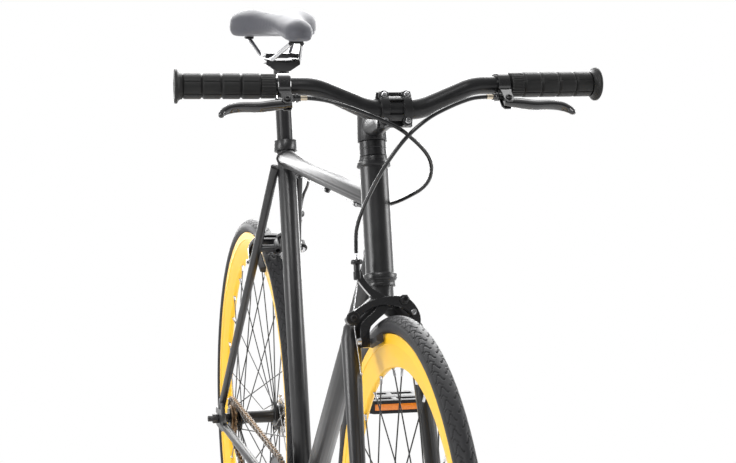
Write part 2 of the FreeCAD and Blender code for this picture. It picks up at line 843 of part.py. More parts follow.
def make_lever_bracket():
    half = lever_clamp_width / 2
    low = lever_clamp_middle - half
    high = lever_clamp_middle + half
    band = rod(point(low, 0, 0), point(high, 0, 0), lever_clamp_radius)
    thick = lever_body_thickness / 2
    arm = [(low, 0), (high, 0), (high, 16), (lever_pivot[0] + 7, lever_pivot[1] - 4)]
    arm += [(lever_pivot[0] + 6, lever_pivot[1] + 6), (lever_pivot[0] - 6, lever_pivot[1] + 6)]
    arm += [(low - 4, adjuster_reach + 6), (low - 4, adjuster_reach - 6), (low, 12)]
    body = band.fuse(slab(arm, -thick, thick))
    blade_half = lever_blade_thickness / 2 + clear_gap
    fork = [(low, lever_pivot[1] - 8), (high + 20, lever_pivot[1] - 8), (high + 20, lever_pivot[1] + 20)]
    fork += [(low, lever_pivot[1] + 20)]
    body = body.cut(slab(fork, -blade_half, blade_half))
    barrel_end = low - 4 - adjuster_length
    barrel = flat_rod(point(barrel_end, adjuster_reach, 0), point(low - 3, adjuster_reach, 0), adjuster_radius,
                      bolt_sides)
    body = body.fuse(barrel).cut(rod(point(low, 0, 0), point(high, 0, 0), bar_radius + running_gap))
    pin = rod(point(*lever_pivot, -thick), point(*lever_pivot, thick), lever_pivot_radius)
    return on_bar(solid_of(body.fuse(pin)))


def make_lever_blade():
    # A curved two-finger blade with a curled tip, on the pin of its bracket.
    x, y = lever_pivot
    far = lever_blade_length
    width = lever_blade_width
    stations = [(x - 4, y, width), (x + 0.18 * far, y + 1, width), (x + 0.45 * far, y + 5, width - 1)]
    stations += [(x + 0.75 * far, y + 6, width - 2), (x + 0.93 * far, y + 9, width - 3)]
    stations += [(x + far, y + 15, width - 4)]
    half = lever_blade_thickness / 2
    blade = slab(strip(stations), -half, half)
    hole = rod(point(x, y, -half), point(x, y, half), lever_pivot_radius + running_gap)
    return on_bar(solid_of(blade.cut(hole)))


def lever_cable_exit():
    end = lever_clamp_middle - lever_clamp_width / 2 - 4 - adjuster_length
    return bar_end_start + bar_out * end + lever_way * adjuster_reach


# Wheels, turned about the X axis at the origin and moved to their axles
def make_tyre(axle):
    half = tyre_width / 2
    bead = rim_width / 2 - clear_gap
    belly = wheel_radius - half
    crown_edge = half * tyre_crown_share
    side = [(bead, rim_radius + clear_gap), (half, belly), (crown_edge, wheel_radius)]
    other = [(-along, radius) for along, radius in side]
    return lathe(side + other[::-1]).translated(axle)


def make_valve(axle):
    # The inner tube's stem, at the foot of the wheel, inside the rim's nose.
    nose = axle - z_axis * (rim_radius - rim_depth - clear_gap)
    return flat_rod(nose, nose + z_axis * valve_length, valve_radius, bolt_sides)


def make_rim(axle):
    half = rim_width / 2
    track = rim_radius - brake_track
    nose = rim_radius - rim_depth
    side = [(half, rim_radius), (half, track), (rim_nose / 2, nose)]
    other = [(-along, radius) for along, radius in side]
    return lathe(side + other[::-1]).translated(axle)


def on_wheel(axle, along, radius, angle):
    turn = math.radians(angle)
    return axle + point(along, radius * math.cos(turn), radius * math.sin(turn))


def make_spoke(start, end):
    run = end - start
    across = unit(run.cross(x_axis)) * (spoke_thickness / 2)
    up = unit(run.cross(across)) * (spoke_thickness / 2)
    return prism([start + across + up, start - across + up, start - across - up, start + across - up], run)


def make_spokes(axle, flange_spacing, flange_radius):
    spokes = []
    step = 360 / spoke_count
    hub_turn = spoke_crossings * 2 * step
    hub_circle = flange_radius - spoke_hole_inset
    rim_end = rim_radius - rim_depth - clear_gap
    exit_slope = (flange_spacing / 2) / rim_end
    flare = exit_slope * math.sqrt(flange_radius ** 2 - hub_circle ** 2) + clear_gap
    beside = flange_thickness / 2 + spoke_thickness / 2
    for number in range(spoke_count):
        side = 1 if number % 2 == 0 else -1
        leading = 1 if (number // 2) % 2 == 0 else -1
        angle = -90 + (number + 0.5) * step
        face = flange_spacing / 2 + (beside + flare if leading > 0 else -beside)
        start = on_wheel(axle, side * face, hub_circle, angle - leading * hub_turn)
        end = on_wheel(axle, side * spoke_rim_offset, rim_end, angle)
        spokes.append(make_spoke(start, end))
    return spokes


def hub_side(flange_spacing, flange_radius, thread_radius, thread_end):
    # One half of a hub's outline, from its barrel over the flange to the open end.
    outer = flange_spacing / 2 + flange_thickness / 2
    inner = flange_spacing / 2 - flange_thickness / 2
    side = [(inner, hub_barrel_radius), (inner, flange_radius), (outer, flange_radius)]
    return side + [(outer, thread_radius), (thread_end, thread_radius), (thread_end, axle_radius + running_gap)]


def make_hub(axle, left, right):
    return lathe(left + [(-along, radius) for along, radius in right[::-1]]).translated(axle)


def make_front_hub():
    side = hub_side(front_flange_spacing, front_flange_radius, front_collar_radius, front_collar_end)
    return make_hub(front_axle, side, side)


def make_rear_hub():
    # Threads for the cog on the right, and the core that the freewheel turns on at the left.
    left = hub_side(rear_flange_spacing, rear_flange_radius, freewheel_core_radius, hub_thread_end)
    right = hub_side(rear_flange_spacing, rear_flange_radius, hub_thread_radius, hub_thread_end)
    return make_hub(rear_axle, left, right)


def make_axle(axle, hub_width, end_thickness, collar_end):
    # The axle with its locknuts inside the fork ends and its track nuts outside them.
    face = hub_width / 2
    nut = face + end_thickness
    tip = nut + axle_nut_height + axle_stub
    piece = rod(axle - x_axis * tip, axle + x_axis * tip, axle_radius)
    locknut_start = collar_end + clear_gap
    locknut = hexagon(axle + x_axis * locknut_start, axle_nut_width, x_axis * (face - locknut_start))
    cap = hexagon(axle + x_axis * nut, axle_nut_width, x_axis * axle_nut_height)
    return solid_of(piece.fuse(both_sides(locknut) + both_sides(cap)))


# Sprockets in the plane of the chain: one flat-floored gap for each roller
def sprocket_outline(teeth, first_gap):
    pitch_radius = chain_pitch / (2 * math.sin(math.pi / teeth))
    outline = []
    mouth = tooth_gap_mouth / 2
    floor = tooth_gap_floor / 2
    gap = ((-mouth, tooth_height), (-floor, -tooth_gap_depth), (floor, -tooth_gap_depth), (mouth, tooth_height))
    for number in range(teeth):
        turn = first_gap + 2 * math.pi * number / teeth
        for across, out in gap:
            radius = pitch_radius + out
            outline.append((radius * math.cos(turn) - across * math.sin(turn),
                            radius * math.sin(turn) + across * math.cos(turn)))
    return outline


def on_chain_plane(shape, centre, line):
    return placed(shape, centre + x_axis * line, stay_heading, stay_up, x_axis)


def make_chainring():
    half = sprocket_thickness / 2
    ring = slab(sprocket_outline(ring_teeth, math.pi), -half, half)
    ring = ring.cut(rod(point(0, 0, -half), point(0, 0, half), ring_bore_radius))
    return on_chain_plane(ring, bottom_bracket, -chain_line)


def make_cog():
    half = sprocket_thickness / 2
    teeth = slab(sprocket_outline(cog_teeth, 0), -half, half)
    bore = rod(point(0, 0, -half), point(0, 0, half), hub_thread_radius + fit_gap)
    return on_chain_plane(teeth.cut(bore), rear_axle, -chain_line)


def make_lockring():
    # Holds the cog on the hub's threads.
    start = rear_axle - x_axis * (chain_line + sprocket_thickness / 2)
    end = start - x_axis * lockring_width
    ring = flat_rod(end, start, lockring_radius, tube_sides)
    return ring.cut(rod(end, start, hub_thread_radius + fit_gap))


def make_freewheel_ring():
    half = sprocket_thickness / 2
    teeth = slab(sprocket_outline(cog_teeth, 0), -half, half)
    teeth = teeth.cut(rod(point(0, 0, -half), point(0, 0, half), freewheel_core_radius + running_gap))
    return on_chain_plane(teeth, rear_axle, chain_line)


def chain_places():
    upper = half_chain(chain_stay_length)[0]
    lower = [(along, -up) for along, up in upper[1:-1]]
    return upper + lower[::-1]


def make_chain():
    # Inner links carry the rollers, and outer links lap over them on both sides.
    pieces = []
    places = chain_places()
    inner_face = roller_width / 2 + plate_play / 2
    for number, (x, y) in enumerate(places):
        following = places[(number + 1) % len(places)]
        heading = unit(point(following[0] - x, following[1] - y, 0))
        side = point(-heading.y, heading.x, 0)
        half = plate_height / 2
        spots = [(-plate_end, -half), (-plate_end, half), (chain_pitch + plate_end, half)]
        spots += [(chain_pitch + plate_end, -half)]
        outline = [(x + heading.x * a + side.x * b, y + heading.y * a + side.y * b) for a, b in spots]
        face = inner_face if number % 2 == 0 else inner_face + plate_thickness + plate_play
        pieces.append(slab(outline, face, face + plate_thickness))
        pieces.append(slab(outline, -face - plate_thickness, -face))
        half = roller_radius / math.sqrt(2)
        spots = [(-half, -half), (-half, half), (half, half), (half, -half)]
        roller = [(x + heading.x * a + side.x * b, y + heading.y * a + side.y * b) for a, b in spots]
        pieces.append(slab(roller, -roller_width / 2, roller_width / 2))
    return on_chain_plane(Part.makeCompound(pieces), bottom_bracket, -chain_line)


# Cranks: local X along the left crank, Z to the left
crank_turn = math.radians(crank_angle)
crank_way = point(0, -math.cos(crank_turn), math.sin(crank_turn))


def on_crank(shape, way, out):
    return placed(shape, bottom_bracket, way, out.cross(way), out)


def crank_arm():
    low = crank_inner_face
    high = crank_inner_face + crank_thickness
    arm = link_plate((0, 0), crank_boss_radius, (crank_length, 0), crank_eye_radius, low, high)
    boss_low = shell_width / 2 + cup_flange_width + 6
    boss = rod(point(0, 0, boss_low), point(0, 0, low), crank_boss_radius)
    spindle = rod(point(0, 0, boss_low), point(0, 0, high - 4), bottom_spindle_radius + fit_gap)
    eye = rod(point(crank_length, 0, low), point(crank_length, 0, high), pedal_spindle_radius + fit_gap)
    return arm.fuse(boss).cut(spindle).cut(eye)


def make_left_crank():
    return on_crank(solid_of(crank_arm()), crank_way, x_axis)


def make_right_crank():
    arm = crank_arm()
    low = chain_line + sprocket_thickness / 2
    spider = rod(point(0, 0, low), point(0, 0, low + spider_thickness), crank_boss_radius + 6)
    for number in range(spider_arms):
        turn = 2 * math.pi * (number + 0.5) / spider_arms
        tip = (spider_reach * math.cos(turn), spider_reach * math.sin(turn))
        spider = spider.fuse(link_plate((0, 0), spider_arm_width / 2 + 3, tip, spider_arm_width / 2 - 1,
                                        low, low + spider_thickness))
    spindle = rod(point(0, 0, low), point(0, 0, low + spider_thickness), bottom_spindle_radius + fit_gap)
    return on_crank(solid_of(arm.fuse(spider).cut(spindle)), crank_way.negative(), x_axis.negative())


def make_bottom_spindle():
    half = x_axis * (crank_inner_face + crank_thickness - 4)
    return rod(bottom_bracket - half, bottom_bracket + half, bottom_spindle_radius)


left_pedal_axle = bottom_bracket + crank_way * crank_length
right_pedal_axle = bottom_bracket - crank_way * crank_length


def make_pedal_spindle(axle, side):
    start = axle + x_axis * (side * crank_inner_face)
    collar = axle + x_axis * (side * (crank_inner_face + crank_thickness))
    face = axle + x_axis * (side * (pedal_inner_end - clear_gap))
    end = axle + x_axis * (side * (pedal_inner_end + pedal_length - 8))
    collar = flat_rod(collar, face, pedal_spindle_radius + 3, bolt_sides)
    return solid_of(rod(start, end, pedal_spindle_radius).fuse(collar))


def pedal_window(left, right, near, far):
    return Part.makeBox(right - left, far - near, 2 * pedal_height, point(left, near, -pedal_height))


def reflector_box(face):
    start = (pedal_length - reflector_length) / 2
    near = pedal_depth / 2 - reflector_depth if face > 0 else -pedal_depth / 2
    return Part.makeBox(reflector_length, reflector_depth, reflector_height,
                        point(start, near, -reflector_height / 2))


def make_pedal():
    # A platform with a barrel on the spindle, open windows beside it and a reflector in each long edge.
    half = pedal_depth / 2
    low = -pedal_height / 2
    corner = pedal_corner
    outline = [(0, -half + corner), (corner, -half), (pedal_length - corner, -half)]
    outline += [(pedal_length, -half + corner), (pedal_length, half - corner), (pedal_length - corner, half)]
    outline += [(corner, half), (0, half - corner)]
    body = slab(outline, low, -low)
    middle = pedal_length / 2
    for left, right in ((pedal_rail, middle - 4), (middle + 4, pedal_length - pedal_rail)):
        for near in (pedal_barrel_radius, -half + pedal_rail):
            body = body.cut(pedal_window(left, right, near, near + half - pedal_rail - pedal_barrel_radius))
    barrel = flat_rod(ground, point(pedal_length, 0, 0), pedal_barrel_radius, rail_sides)
    bore = rod(ground, point(pedal_length - 7, 0, 0), pedal_spindle_radius + running_gap)
    body = body.fuse(barrel).cut(bore)
    for face in (1, -1):
        body = body.cut(reflector_box(face))
    return solid_of(body)


def on_pedal(shape, axle, side):
    spot = axle + x_axis * (side * pedal_inner_end)
    return placed(shape, spot, x_axis * side, y_axis * side, z_axis)


# Calipers: local X to the viewer's right, Y up and Z out from the seat
arm_low = bracket_thickness + clear_gap
arm_high = arm_low + arm_thickness
arch_low = arm_high + clear_gap
arch_high = arch_low + arch_thickness
arm_middle = (arm_low + arm_high) / 2
arch_middle = (arch_low + arch_high) / 2
pad_face = rim_width / 2 + pad_gap
foot_inner = pad_face + pad_thickness + pad_stem_length
foot_middle = foot_inner + arm_foot_width / 2


def make_brake_bracket():
    # The bolt through the frame, the plate behind the arms and the pin of the arch.
    plate = link_plate((0, 0), brake_boss_radius, (arch_pivot_right, arch_pivot_up), pivot_head_radius,
                       0, bracket_thickness)
    bolt = rod(point(0, 0, -brake_boss_length), point(0, 0, arm_high), brake_bolt_radius)
    head_low = arch_high + clear_gap
    pin = rod(point(arch_pivot_right, arch_pivot_up, 0), point(arch_pivot_right, arch_pivot_up, head_low),
              arch_pivot_radius)
    head = flat_rod(point(arch_pivot_right, arch_pivot_up, head_low),
                    point(arch_pivot_right, arch_pivot_up, head_low + pivot_head_height), pivot_head_radius,
                    bolt_sides)
    return solid_of(plate.fuse([bolt, pin, head]))


def make_side_arm():
    # Turns on the bolt, holds the cable's adjuster at its top and the left pad at its foot.
    foot = brake_reach + arm_foot_overrun
    left = brake_adjuster_left
    stations = [(-left, brake_adjuster_up - 6, 10), (-left + 14, brake_adjuster_up - 24, 10)]
    stations += [(-8, 6, 14), (-4, -3, 15), (-foot_middle + 8, -20, 13), (-foot_middle, -34, arm_foot_width)]
    stations += [(-foot_middle, -foot, arm_foot_width)]
    arm = slab(strip(stations), arm_low, arm_high)
    top = brake_adjuster_up
    barrel = flat_rod(point(-left, top - brake_barrel, arm_middle), point(-left, top + 4, arm_middle),
                      adjuster_radius, bolt_sides)
    knob = flat_rod(point(-left, top + 4, arm_middle), point(-left, top + 4 + brake_knob_height, arm_middle),
                    brake_knob_radius, tube_sides)
    arm = arm.fuse([barrel, knob])
    return solid_of(arm.cut(rod(point(0, 0, arm_low), point(0, 0, arm_high), brake_bolt_radius + running_gap)))


def make_arch_arm():
    # Turns on the pin, reaches over to the cable's anchor and holds the right pad at its foot.
    foot = brake_reach + arm_foot_overrun
    stations = [(-anchor_left, -anchor_drop, 13), (-26, -5, 13), (-6, 3, 13), (14, 3, 15), (28, -4, 14)]
    stations += [(foot_middle + 4, -18, 13), (foot_middle, -34, arm_foot_width)]
    stations += [(foot_middle, -foot, arm_foot_width)]
    arm = slab(strip(stations), arch_low, arch_high)
    cap = flat_rod(point(-anchor_left, -anchor_drop, arch_low),
                   point(-anchor_left, -anchor_drop, arch_high + anchor_height), anchor_radius, tube_sides)
    arm = arm.fuse(cap)
    pin = rod(point(arch_pivot_right, arch_pivot_up, arch_low), point(arch_pivot_right, arch_pivot_up, arch_high),
              arch_pivot_radius + running_gap)
    return solid_of(arm.cut(pin))


def make_pad(side, middle, seat, up, out, axle):
    # A brake shoe beside the rim's track, in line with it, with its stem on the arm's foot.
    low = -brake_reach - pad_height / 2
    outline = [(pad_face, low + 1), (pad_face, low + pad_height - 1), (pad_face + 2, low + pad_height)]
    outline += [(pad_face + pad_thickness, low + pad_height - 2), (pad_face + pad_thickness, low + 2)]
    outline += [(pad_face + 2, low)]
    shoe = slab(outline, middle - pad_length / 2, middle + pad_length / 2)
    stem = flat_rod(point(pad_face + pad_thickness, -brake_reach, middle), point(foot_inner, -brake_reach, middle),
                    min(pad_stem_radius, arm_thickness / 2), bolt_sides)
    pad = solid_of(shoe.fuse(stem))
    from_axle = seat - up * brake_reach + out * middle - axle
    tilt = math.degrees(math.atan2(from_axle.dot(out), from_axle.dot(up)))
    pad.rotate(point(0, -brake_reach, middle), x_axis, tilt)
    return pad if side > 0 else mirrored(pad)


# Each brake's seat, with its right, up and out
front_brake = (front_brake_seat, x_axis, steer_axis, steer_front)
rear_brake = (rear_brake_seat, x_axis.negative(), rear_brake_up, rear_brake_out)


# Seat
post_top = seat_tube_top + seat_axis * seatpost_above
rail_height = post_top.z + cradle_thickness / 2 + rail_radius
saddle_foot = rail_height + rail_rise + rail_seat


def make_seatpost():
    # The post flares into a level cradle with two grooves for the rails.
    bottom = seat_tube_top - seat_axis * seatpost_inside
    neck_start = post_top - seat_axis * cradle_neck
    post = rod(bottom, post_top, seatpost_radius)
    half = cradle_width / 2
    long = cradle_length / 2
    base = seatpost_radius * 0.7
    low = neck_start.z - post_top.z
    top = cradle_thickness / 2
    front = [(-half, top), (-half, -top), (-base - 2, low), (base + 2, low), (half, -top), (half, top)]
    cradle = slab(front, -long, long)
    cradle = placed(cradle, post_top, x_axis, z_axis, y_axis.negative())
    above = Part.makeBox(4 * half, 6 * long, 60, post_top + point(-2 * half, -3 * long, top))
    head = post.cut(above).fuse(cradle)
    for side in (1, -1):
        place = point(side * rail_spread, post_top.y - 2 * long, rail_height)
        head = head.cut(rod(place, place + y_axis * (4 * long), rail_radius + fit_gap))
    return solid_of(head)


def make_rail():
    # One rail: level in the clamp, up to the tail of the saddle behind and to its nose in front.
    half = rail_clamp_length / 2
    y = post_top.y
    nose = y + saddle_tail - saddle_length
    tail_end = point(rail_spread + 16, y + saddle_tail - 34, rail_height + rail_rise)
    nose_end = point(rail_spread * 0.4, nose + 46, rail_height + rail_rise - 4)
    corners = [tail_end, point(rail_spread, y + half, rail_height)]
    corners += [point(rail_spread, y - half, rail_height), nose_end]
    places = bend_places(corners, 5 * rail_radius)
    return flat_tube(places, [rail_radius] * len(places), rail_sides)


def make_clamp_plate():
    # The upper clamp on the rails, with its two grooves, over the post's cradle.
    long = cradle_length / 2
    half = rail_spread + rail_radius + 2.5
    low = rail_height + 0.5
    plate = Part.makeBox(2 * half, 2 * long, clamp_plate_thickness + rail_radius / 2,
                         point(-half, post_top.y - long, low))
    for side in (1, -1):
        place = point(side * rail_spread, post_top.y - 2 * long, rail_height)
        plate = plate.cut(rod(place, place + y_axis * (4 * long), rail_radius + fit_gap))
    return solid_of(plate)


def saddle_section(place, half_width, foot, crest, dip, tuck):
    # Flat foot, drawn-in sides, round shoulders and a top that sinks in the middle.
    y = post_top.y + place
    height = crest - foot
    right = [(half_width * tuck, foot), (half_width, foot + 0.42 * height), (half_width * 0.92, foot + 0.78 * height)]
    right += [(half_width * 0.6, crest), (half_width * 0.25, crest - 0.75 * dip)]
    left = [(-x, z) for x, z in right[::-1]]
    corners = [point(x, y, z) for x, z in right + left]
    return Part.makePolygon(corners + [corners[0]])


def make_saddle():
    # From the tail's two lobes along the drawn-in waist to the rounded nose.
    wide = saddle_width / 2
    nose = saddle_nose_width / 2
    front = saddle_tail - saddle_length
    foot = saddle_foot + clear_gap
    crest = foot + saddle_height - rail_radius
    nose_crest = crest - (saddle_height - saddle_nose_height)
    stations = [
        (saddle_tail, wide * 0.62, foot + 12, crest - 12, saddle_dip * 0.6, 0.9),
        (saddle_tail - 22, wide * 0.96, foot + 2, crest - 2, saddle_dip, 0.88),
        (saddle_tail - 60, wide, foot, crest, saddle_dip, 0.86),
        (saddle_tail - 115, wide * 0.62, foot, crest - 6, saddle_dip * 0.7, 0.84),
        (saddle_tail - 170, nose * 1.25, foot, nose_crest + 4, 3.0, 0.82),
        (front + 30, nose, foot - 2, nose_crest, -2.0, 0.8),
        (front, nose * 0.6, foot + 4, nose_crest - 8, -2.0, 0.8),
    ]
    sections = [saddle_section(*station) for station in stations]
    return Part.makeLoft(sections, True, True)


# Cable routes, as points chosen along the photographed runs
def brake_wire(seat, right, up, out):
    # The bare wire from a brake's adjuster to its anchor, and the loose tail below it.
    def spot(x, y, z):
        return seat + right * x + up * y + out * z

    level = arch_high + anchor_height / 2
    beside = anchor_radius + clear_gap
    barrel = spot(-brake_adjuster_left, brake_adjuster_up - brake_barrel - clear_gap - wire_radius, arm_middle)
    above = spot(-anchor_left + 1, -anchor_drop + beside, level)
    below = spot(-anchor_left + 1, -anchor_drop - beside, level)
    tail = spot(-anchor_left + 7, -anchor_drop - beside - cable_tail, level)
    return flat_rod(barrel, above, wire_radius, bolt_sides), flat_rod(below, tail, wire_radius, bolt_sides)


def brake_adjuster_top(seat, right, up, out):
    top = brake_adjuster_up + 4 + brake_knob_height
    return seat - right * brake_adjuster_left + up * top + out * arm_middle


front_route = [
    point(76, -441, 934), point(55, -451, 927), point(35, -459, 919), point(17, -463, 907),
    point(2, -462, 893), point(-12, -455, 873), point(-23, -442, 850), point(-29, -422, 828),
    point(-32, -398, 807), point(-35, -374, 783),
]
rear_route = [
    point(-70, -443, 931), point(-38, -451, 919), point(-5, -451, 905), point(18, -444, 888),
    point(37, -432, 871), point(48, -417, 854), point(51, -400, 837), point(47, -380, 822),
    point(38, -357, 811), point(28, -330, 800), point(17, -299, 791), point(7, -270, 786),
]
rear_drop_route = [
    point(13, 204, 783), point(27, 230, 780), point(37, 256, 772), point(41, 282, 757),
]


def make_front_cable():
    start = lever_cable_exit() - bar_out * clear_gap
    end = brake_adjuster_top(*front_brake) + steer_axis * clear_gap
    corners = [start, start - bar_out * cable_lead] + front_route + [end + steer_axis * brake_lead, end]
    return [cord("front_brake_cable", corners, housing_radius)] + list(brake_wire(*front_brake))


def make_rear_cable():
    # Housing from the lever to the first stop, bare wire under the top tube, and housing down to the brake.
    half_stop = top_tube_way * (cable_stop_length / 2 + clear_gap)
    first = cable_line(cable_stop_rears[0]) - half_stop
    last = cable_line(cable_stop_rears[-1]) + half_stop
    lead = top_tube_way * cable_lead
    left_start = lever_cable_exit() - bar_out * clear_gap
    left_corner = left_start - bar_out * cable_lead
    start = point(-left_start.x, left_start.y, left_start.z)
    corner = point(-left_corner.x, left_corner.y, left_corner.z)
    ahead = cord("rear_brake_cable ahead", [start, corner] + rear_route + [first - lead, first], housing_radius)
    end = brake_adjuster_top(*rear_brake) + rear_brake_up * clear_gap
    drop_corners = [last, last + lead] + rear_drop_route + [end + rear_brake_up * brake_lead, end]
    drop = cord("rear_brake_cable drop", drop_corners, housing_radius)
    wire = flat_rod(first, last, wire_radius, bolt_sides)
    return [ahead, wire, drop] + list(brake_wire(*rear_brake))


os.makedirs("parts", exist_ok=True)
track_end = make_track_end()
fork_crown = make_fork_crown()
fork_tip = make_fork_tip()
lever_blade = make_lever_blade()

save("head_tube", make_head_tube(), make_upper_cup(), make_lower_cup())
save("top_tube", make_top_tube(), *[make_cable_stop(place) for place in cable_stop_rears])
save("down_tube", make_down_tube())
save("seat_tube", make_seat_tube(), make_seat_collar(), make_shell(), *both_sides(make_bottom_cup()))
save("chain_stays", *both_sides(make_chain_stay(track_end)), *both_sides(track_end))
save("seat_stays", make_bridge(), *both_sides(make_seat_stay(track_end)),
     placed(make_brake_bracket(), *rear_brake))
save("rear_axle", make_axle(rear_axle, rear_hub_width, track_end_thickness, hub_thread_end))
save("chain", make_chain())
save("rear_brake_cable", *make_rear_cable())

save("fork_crown", fork_crown, make_stem_cap(), *[make_spacer(number) for number in range(spacer_count)],
     placed(make_brake_bracket(), *front_brake))
save("fork_blades", *both_sides(make_fork_blade(fork_crown, fork_tip)), *both_sides(fork_tip))
save("stem", make_stem())
save("stem_faceplate", make_faceplate())
save("handlebar", make_handlebar())
save("grips", *both_sides(make_grip()))
save("lever_brackets", *both_sides(make_lever_bracket()))
save("front_axle", make_axle(front_axle, front_hub_width, fork_tip_thickness, front_collar_end))
save("front_brake_cable", *make_front_cable())

save("front_tyre", make_tyre(front_axle), make_valve(front_axle))
save("front_rim", make_rim(front_axle))
save("front_hub", make_front_hub(), *make_spokes(front_axle, front_flange_spacing, front_flange_radius))
save("rear_tyre", make_tyre(rear_axle), make_valve(rear_axle))
save("rear_rim", make_rim(rear_axle))
save("rear_hub", make_rear_hub(), *make_spokes(rear_axle, rear_flange_spacing, rear_flange_radius))
save("rear_cog", make_cog(), make_lockring())
save("freewheel_ring", make_freewheel_ring())

save("chainring", make_chainring())
save("right_crank", make_right_crank())
save("left_crank", make_left_crank())
save("crank_spindles", make_bottom_spindle(), make_pedal_spindle(left_pedal_axle, 1),
     make_pedal_spindle(right_pedal_axle, -1))
for name, axle, side in (("left", left_pedal_axle, 1), ("right", right_pedal_axle, -1)):
    save(name + "_pedal", on_pedal(make_pedal(), axle, side))
    save(name + "_reflectors", *[on_pedal(reflector_box(face), axle, side) for face in (1, -1)])

save("left_lever", lever_blade)
save("right_lever", mirrored(lever_blade))
for name, brake, axle in (("front", front_brake, front_axle), ("rear", rear_brake, rear_axle)):
    seat, right, up, out = brake
    save(name + "_side_arm", placed(make_side_arm(), *brake))
    save(name + "_arch_arm", placed(make_arch_arm(), *brake))
    save(name + "_side_pad", placed(make_pad(-1, arm_middle, seat, up, out, axle), *brake))
    save(name + "_arch_pad", placed(make_pad(1, arch_middle, seat, up, out, axle), *brake))

save("seatpost", make_seatpost())
save("saddle_clamp", make_clamp_plate())
save("saddle_rails", *both_sides(make_rail()))
save("saddle", make_saddle())
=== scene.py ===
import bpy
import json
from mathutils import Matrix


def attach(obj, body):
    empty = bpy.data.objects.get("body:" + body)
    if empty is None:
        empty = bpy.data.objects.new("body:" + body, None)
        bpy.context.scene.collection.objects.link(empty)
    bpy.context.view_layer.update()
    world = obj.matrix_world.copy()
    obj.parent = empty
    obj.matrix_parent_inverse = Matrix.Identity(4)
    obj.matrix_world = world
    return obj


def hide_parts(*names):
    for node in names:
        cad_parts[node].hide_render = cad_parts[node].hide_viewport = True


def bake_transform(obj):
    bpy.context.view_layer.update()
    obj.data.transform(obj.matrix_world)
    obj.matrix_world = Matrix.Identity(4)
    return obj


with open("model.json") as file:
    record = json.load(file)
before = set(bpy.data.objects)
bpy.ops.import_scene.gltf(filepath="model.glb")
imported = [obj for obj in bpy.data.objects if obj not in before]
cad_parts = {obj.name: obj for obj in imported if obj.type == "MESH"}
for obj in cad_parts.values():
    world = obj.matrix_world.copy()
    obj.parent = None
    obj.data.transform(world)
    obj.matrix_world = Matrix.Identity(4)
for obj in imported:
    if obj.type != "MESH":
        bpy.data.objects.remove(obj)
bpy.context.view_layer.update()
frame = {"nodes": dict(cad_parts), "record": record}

import json
import math
from contextlib import contextmanager
import bmesh
import bpy
import numpy as np
from mathutils import Matrix

# Lengths are millimetres, apart from the studio's, and writeMesh turns them into metres
metre = 0.001
xAxis, yAxis, zAxis = np.eye(3)


def spot(*parts):
    return np.array(parts, float)


def unit(way):
    # one direction, or a row of them, made one long
    way = np.asarray(way, float)
    return way / np.linalg.norm(way, axis=-1, keepdims=True)


def pick(values, names):
    # several values out of a piece's dictionary
    return [values[name] for name in names.split()]


# Main places of the bike, the same as in the solid model
layout = dict(crownHeight=13.0, headLength=137.0, stemHeight=52.0, stemReach=118.0, postLength=129.0)
flipped = spot(-1, 1, 1)
steerAxis = spot(0, 0.267238, 0.963630)
steerFront = spot(0, -0.963630, 0.267238)
seatAxis = spot(0, 0.282341, 0.959314)
frontAxle = spot(0, -495, 338)
rearAxle = spot(0, 495, 338)
bottomBracket = spot(0, 97.244, 277)
seatTop = spot(0, 259.308, 827.646)
postTop = seatTop + layout["postLength"] * seatAxis
crown = spot(0, -351.717, 697.498)
headBottom = crown + layout["crownHeight"] * steerAxis
headTop = headBottom + layout["headLength"] * steerAxis
barCentre = headTop + layout["stemHeight"] * steerAxis + layout["stemReach"] * steerFront
barOut = spot(0.994522, 0.104528, 0)
barBend = spot(100, -411.443, 952.686)
leverWay = spot(0.085625, -0.814665, -0.573576)
leverAcross = np.cross(barOut, leverWay)
stayHeading = unit(rearAxle - bottomBracket)
stayUp = np.cross(xAxis, stayHeading)


# Shapes are pairs: an array of places and a list of face arrays
def fullTurn(steps):
    return np.linspace(0, 2 * np.pi, steps, endpoint=False)


def squaredCircle(steps, power):
    # cos t and sin t, each raised to a power below 1 with its sign kept
    turn = fullTurn(steps)
    return [np.sign(wave) * np.abs(wave) ** power for wave in (np.cos(turn), np.sin(turn))]


def ease(share):
    # from 0 to 1 with no slope at either end
    share = np.clip(share, 0, 1)
    return share * share * (3 - 2 * share)


def dip(distance, half):
    # 1 on a groove's middle line, falling smoothly to 0 at its edge
    return ease(1 - np.abs(distance) / half)


def nearest(value, pitch):
    # how far a value lies from the nearest multiple of a pitch
    return (value + pitch / 2) % pitch - pitch / 2


def gridFaces(rings, steps, closed=False):
    # quads between neighbours on a grid of rings, whose last ring may join the first
    r, c = np.meshgrid(np.arange(rings - (not closed)), np.arange(steps), indexing="ij")
    r2, c2 = (r + 1) % rings, (c + 1) % steps
    return np.stack([r * steps + c, r2 * steps + c, r2 * steps + c2, r * steps + c2], -1).reshape(-1, 4)


def tubeFaces(rings, steps, closed=False):
    # the walls between rings, and a face over each end unless the last ring joins the first
    faces = [gridFaces(rings, steps, closed)]
    if not closed:
        faces += [np.arange(steps)[None, ::-1], np.arange((rings - 1) * steps, rings * steps)[None]]
    return faces


def sidesOf(way):
    # two directions square to a way
    way = unit(way)
    helper = xAxis if abs(way[0]) < 0.8 else zAxis
    side = unit(np.cross(way, helper))
    return side, np.cross(way, side)


def lathe(profile, origin, axis, steps=48, ring=False):
    # place = origin + along * axis + radius * (cos t * side + sin t * up), for every profile point and turn t
    along, radius = np.array(profile, float).T[:, :, None, None]
    side, up = sidesOf(axis)
    turn = fullTurn(steps)[:, None]
    places = origin + along * unit(axis) + radius * (np.cos(turn) * side + np.sin(turn) * up)
    return places.reshape(-1, 3), tubeFaces(len(along), steps, ring)


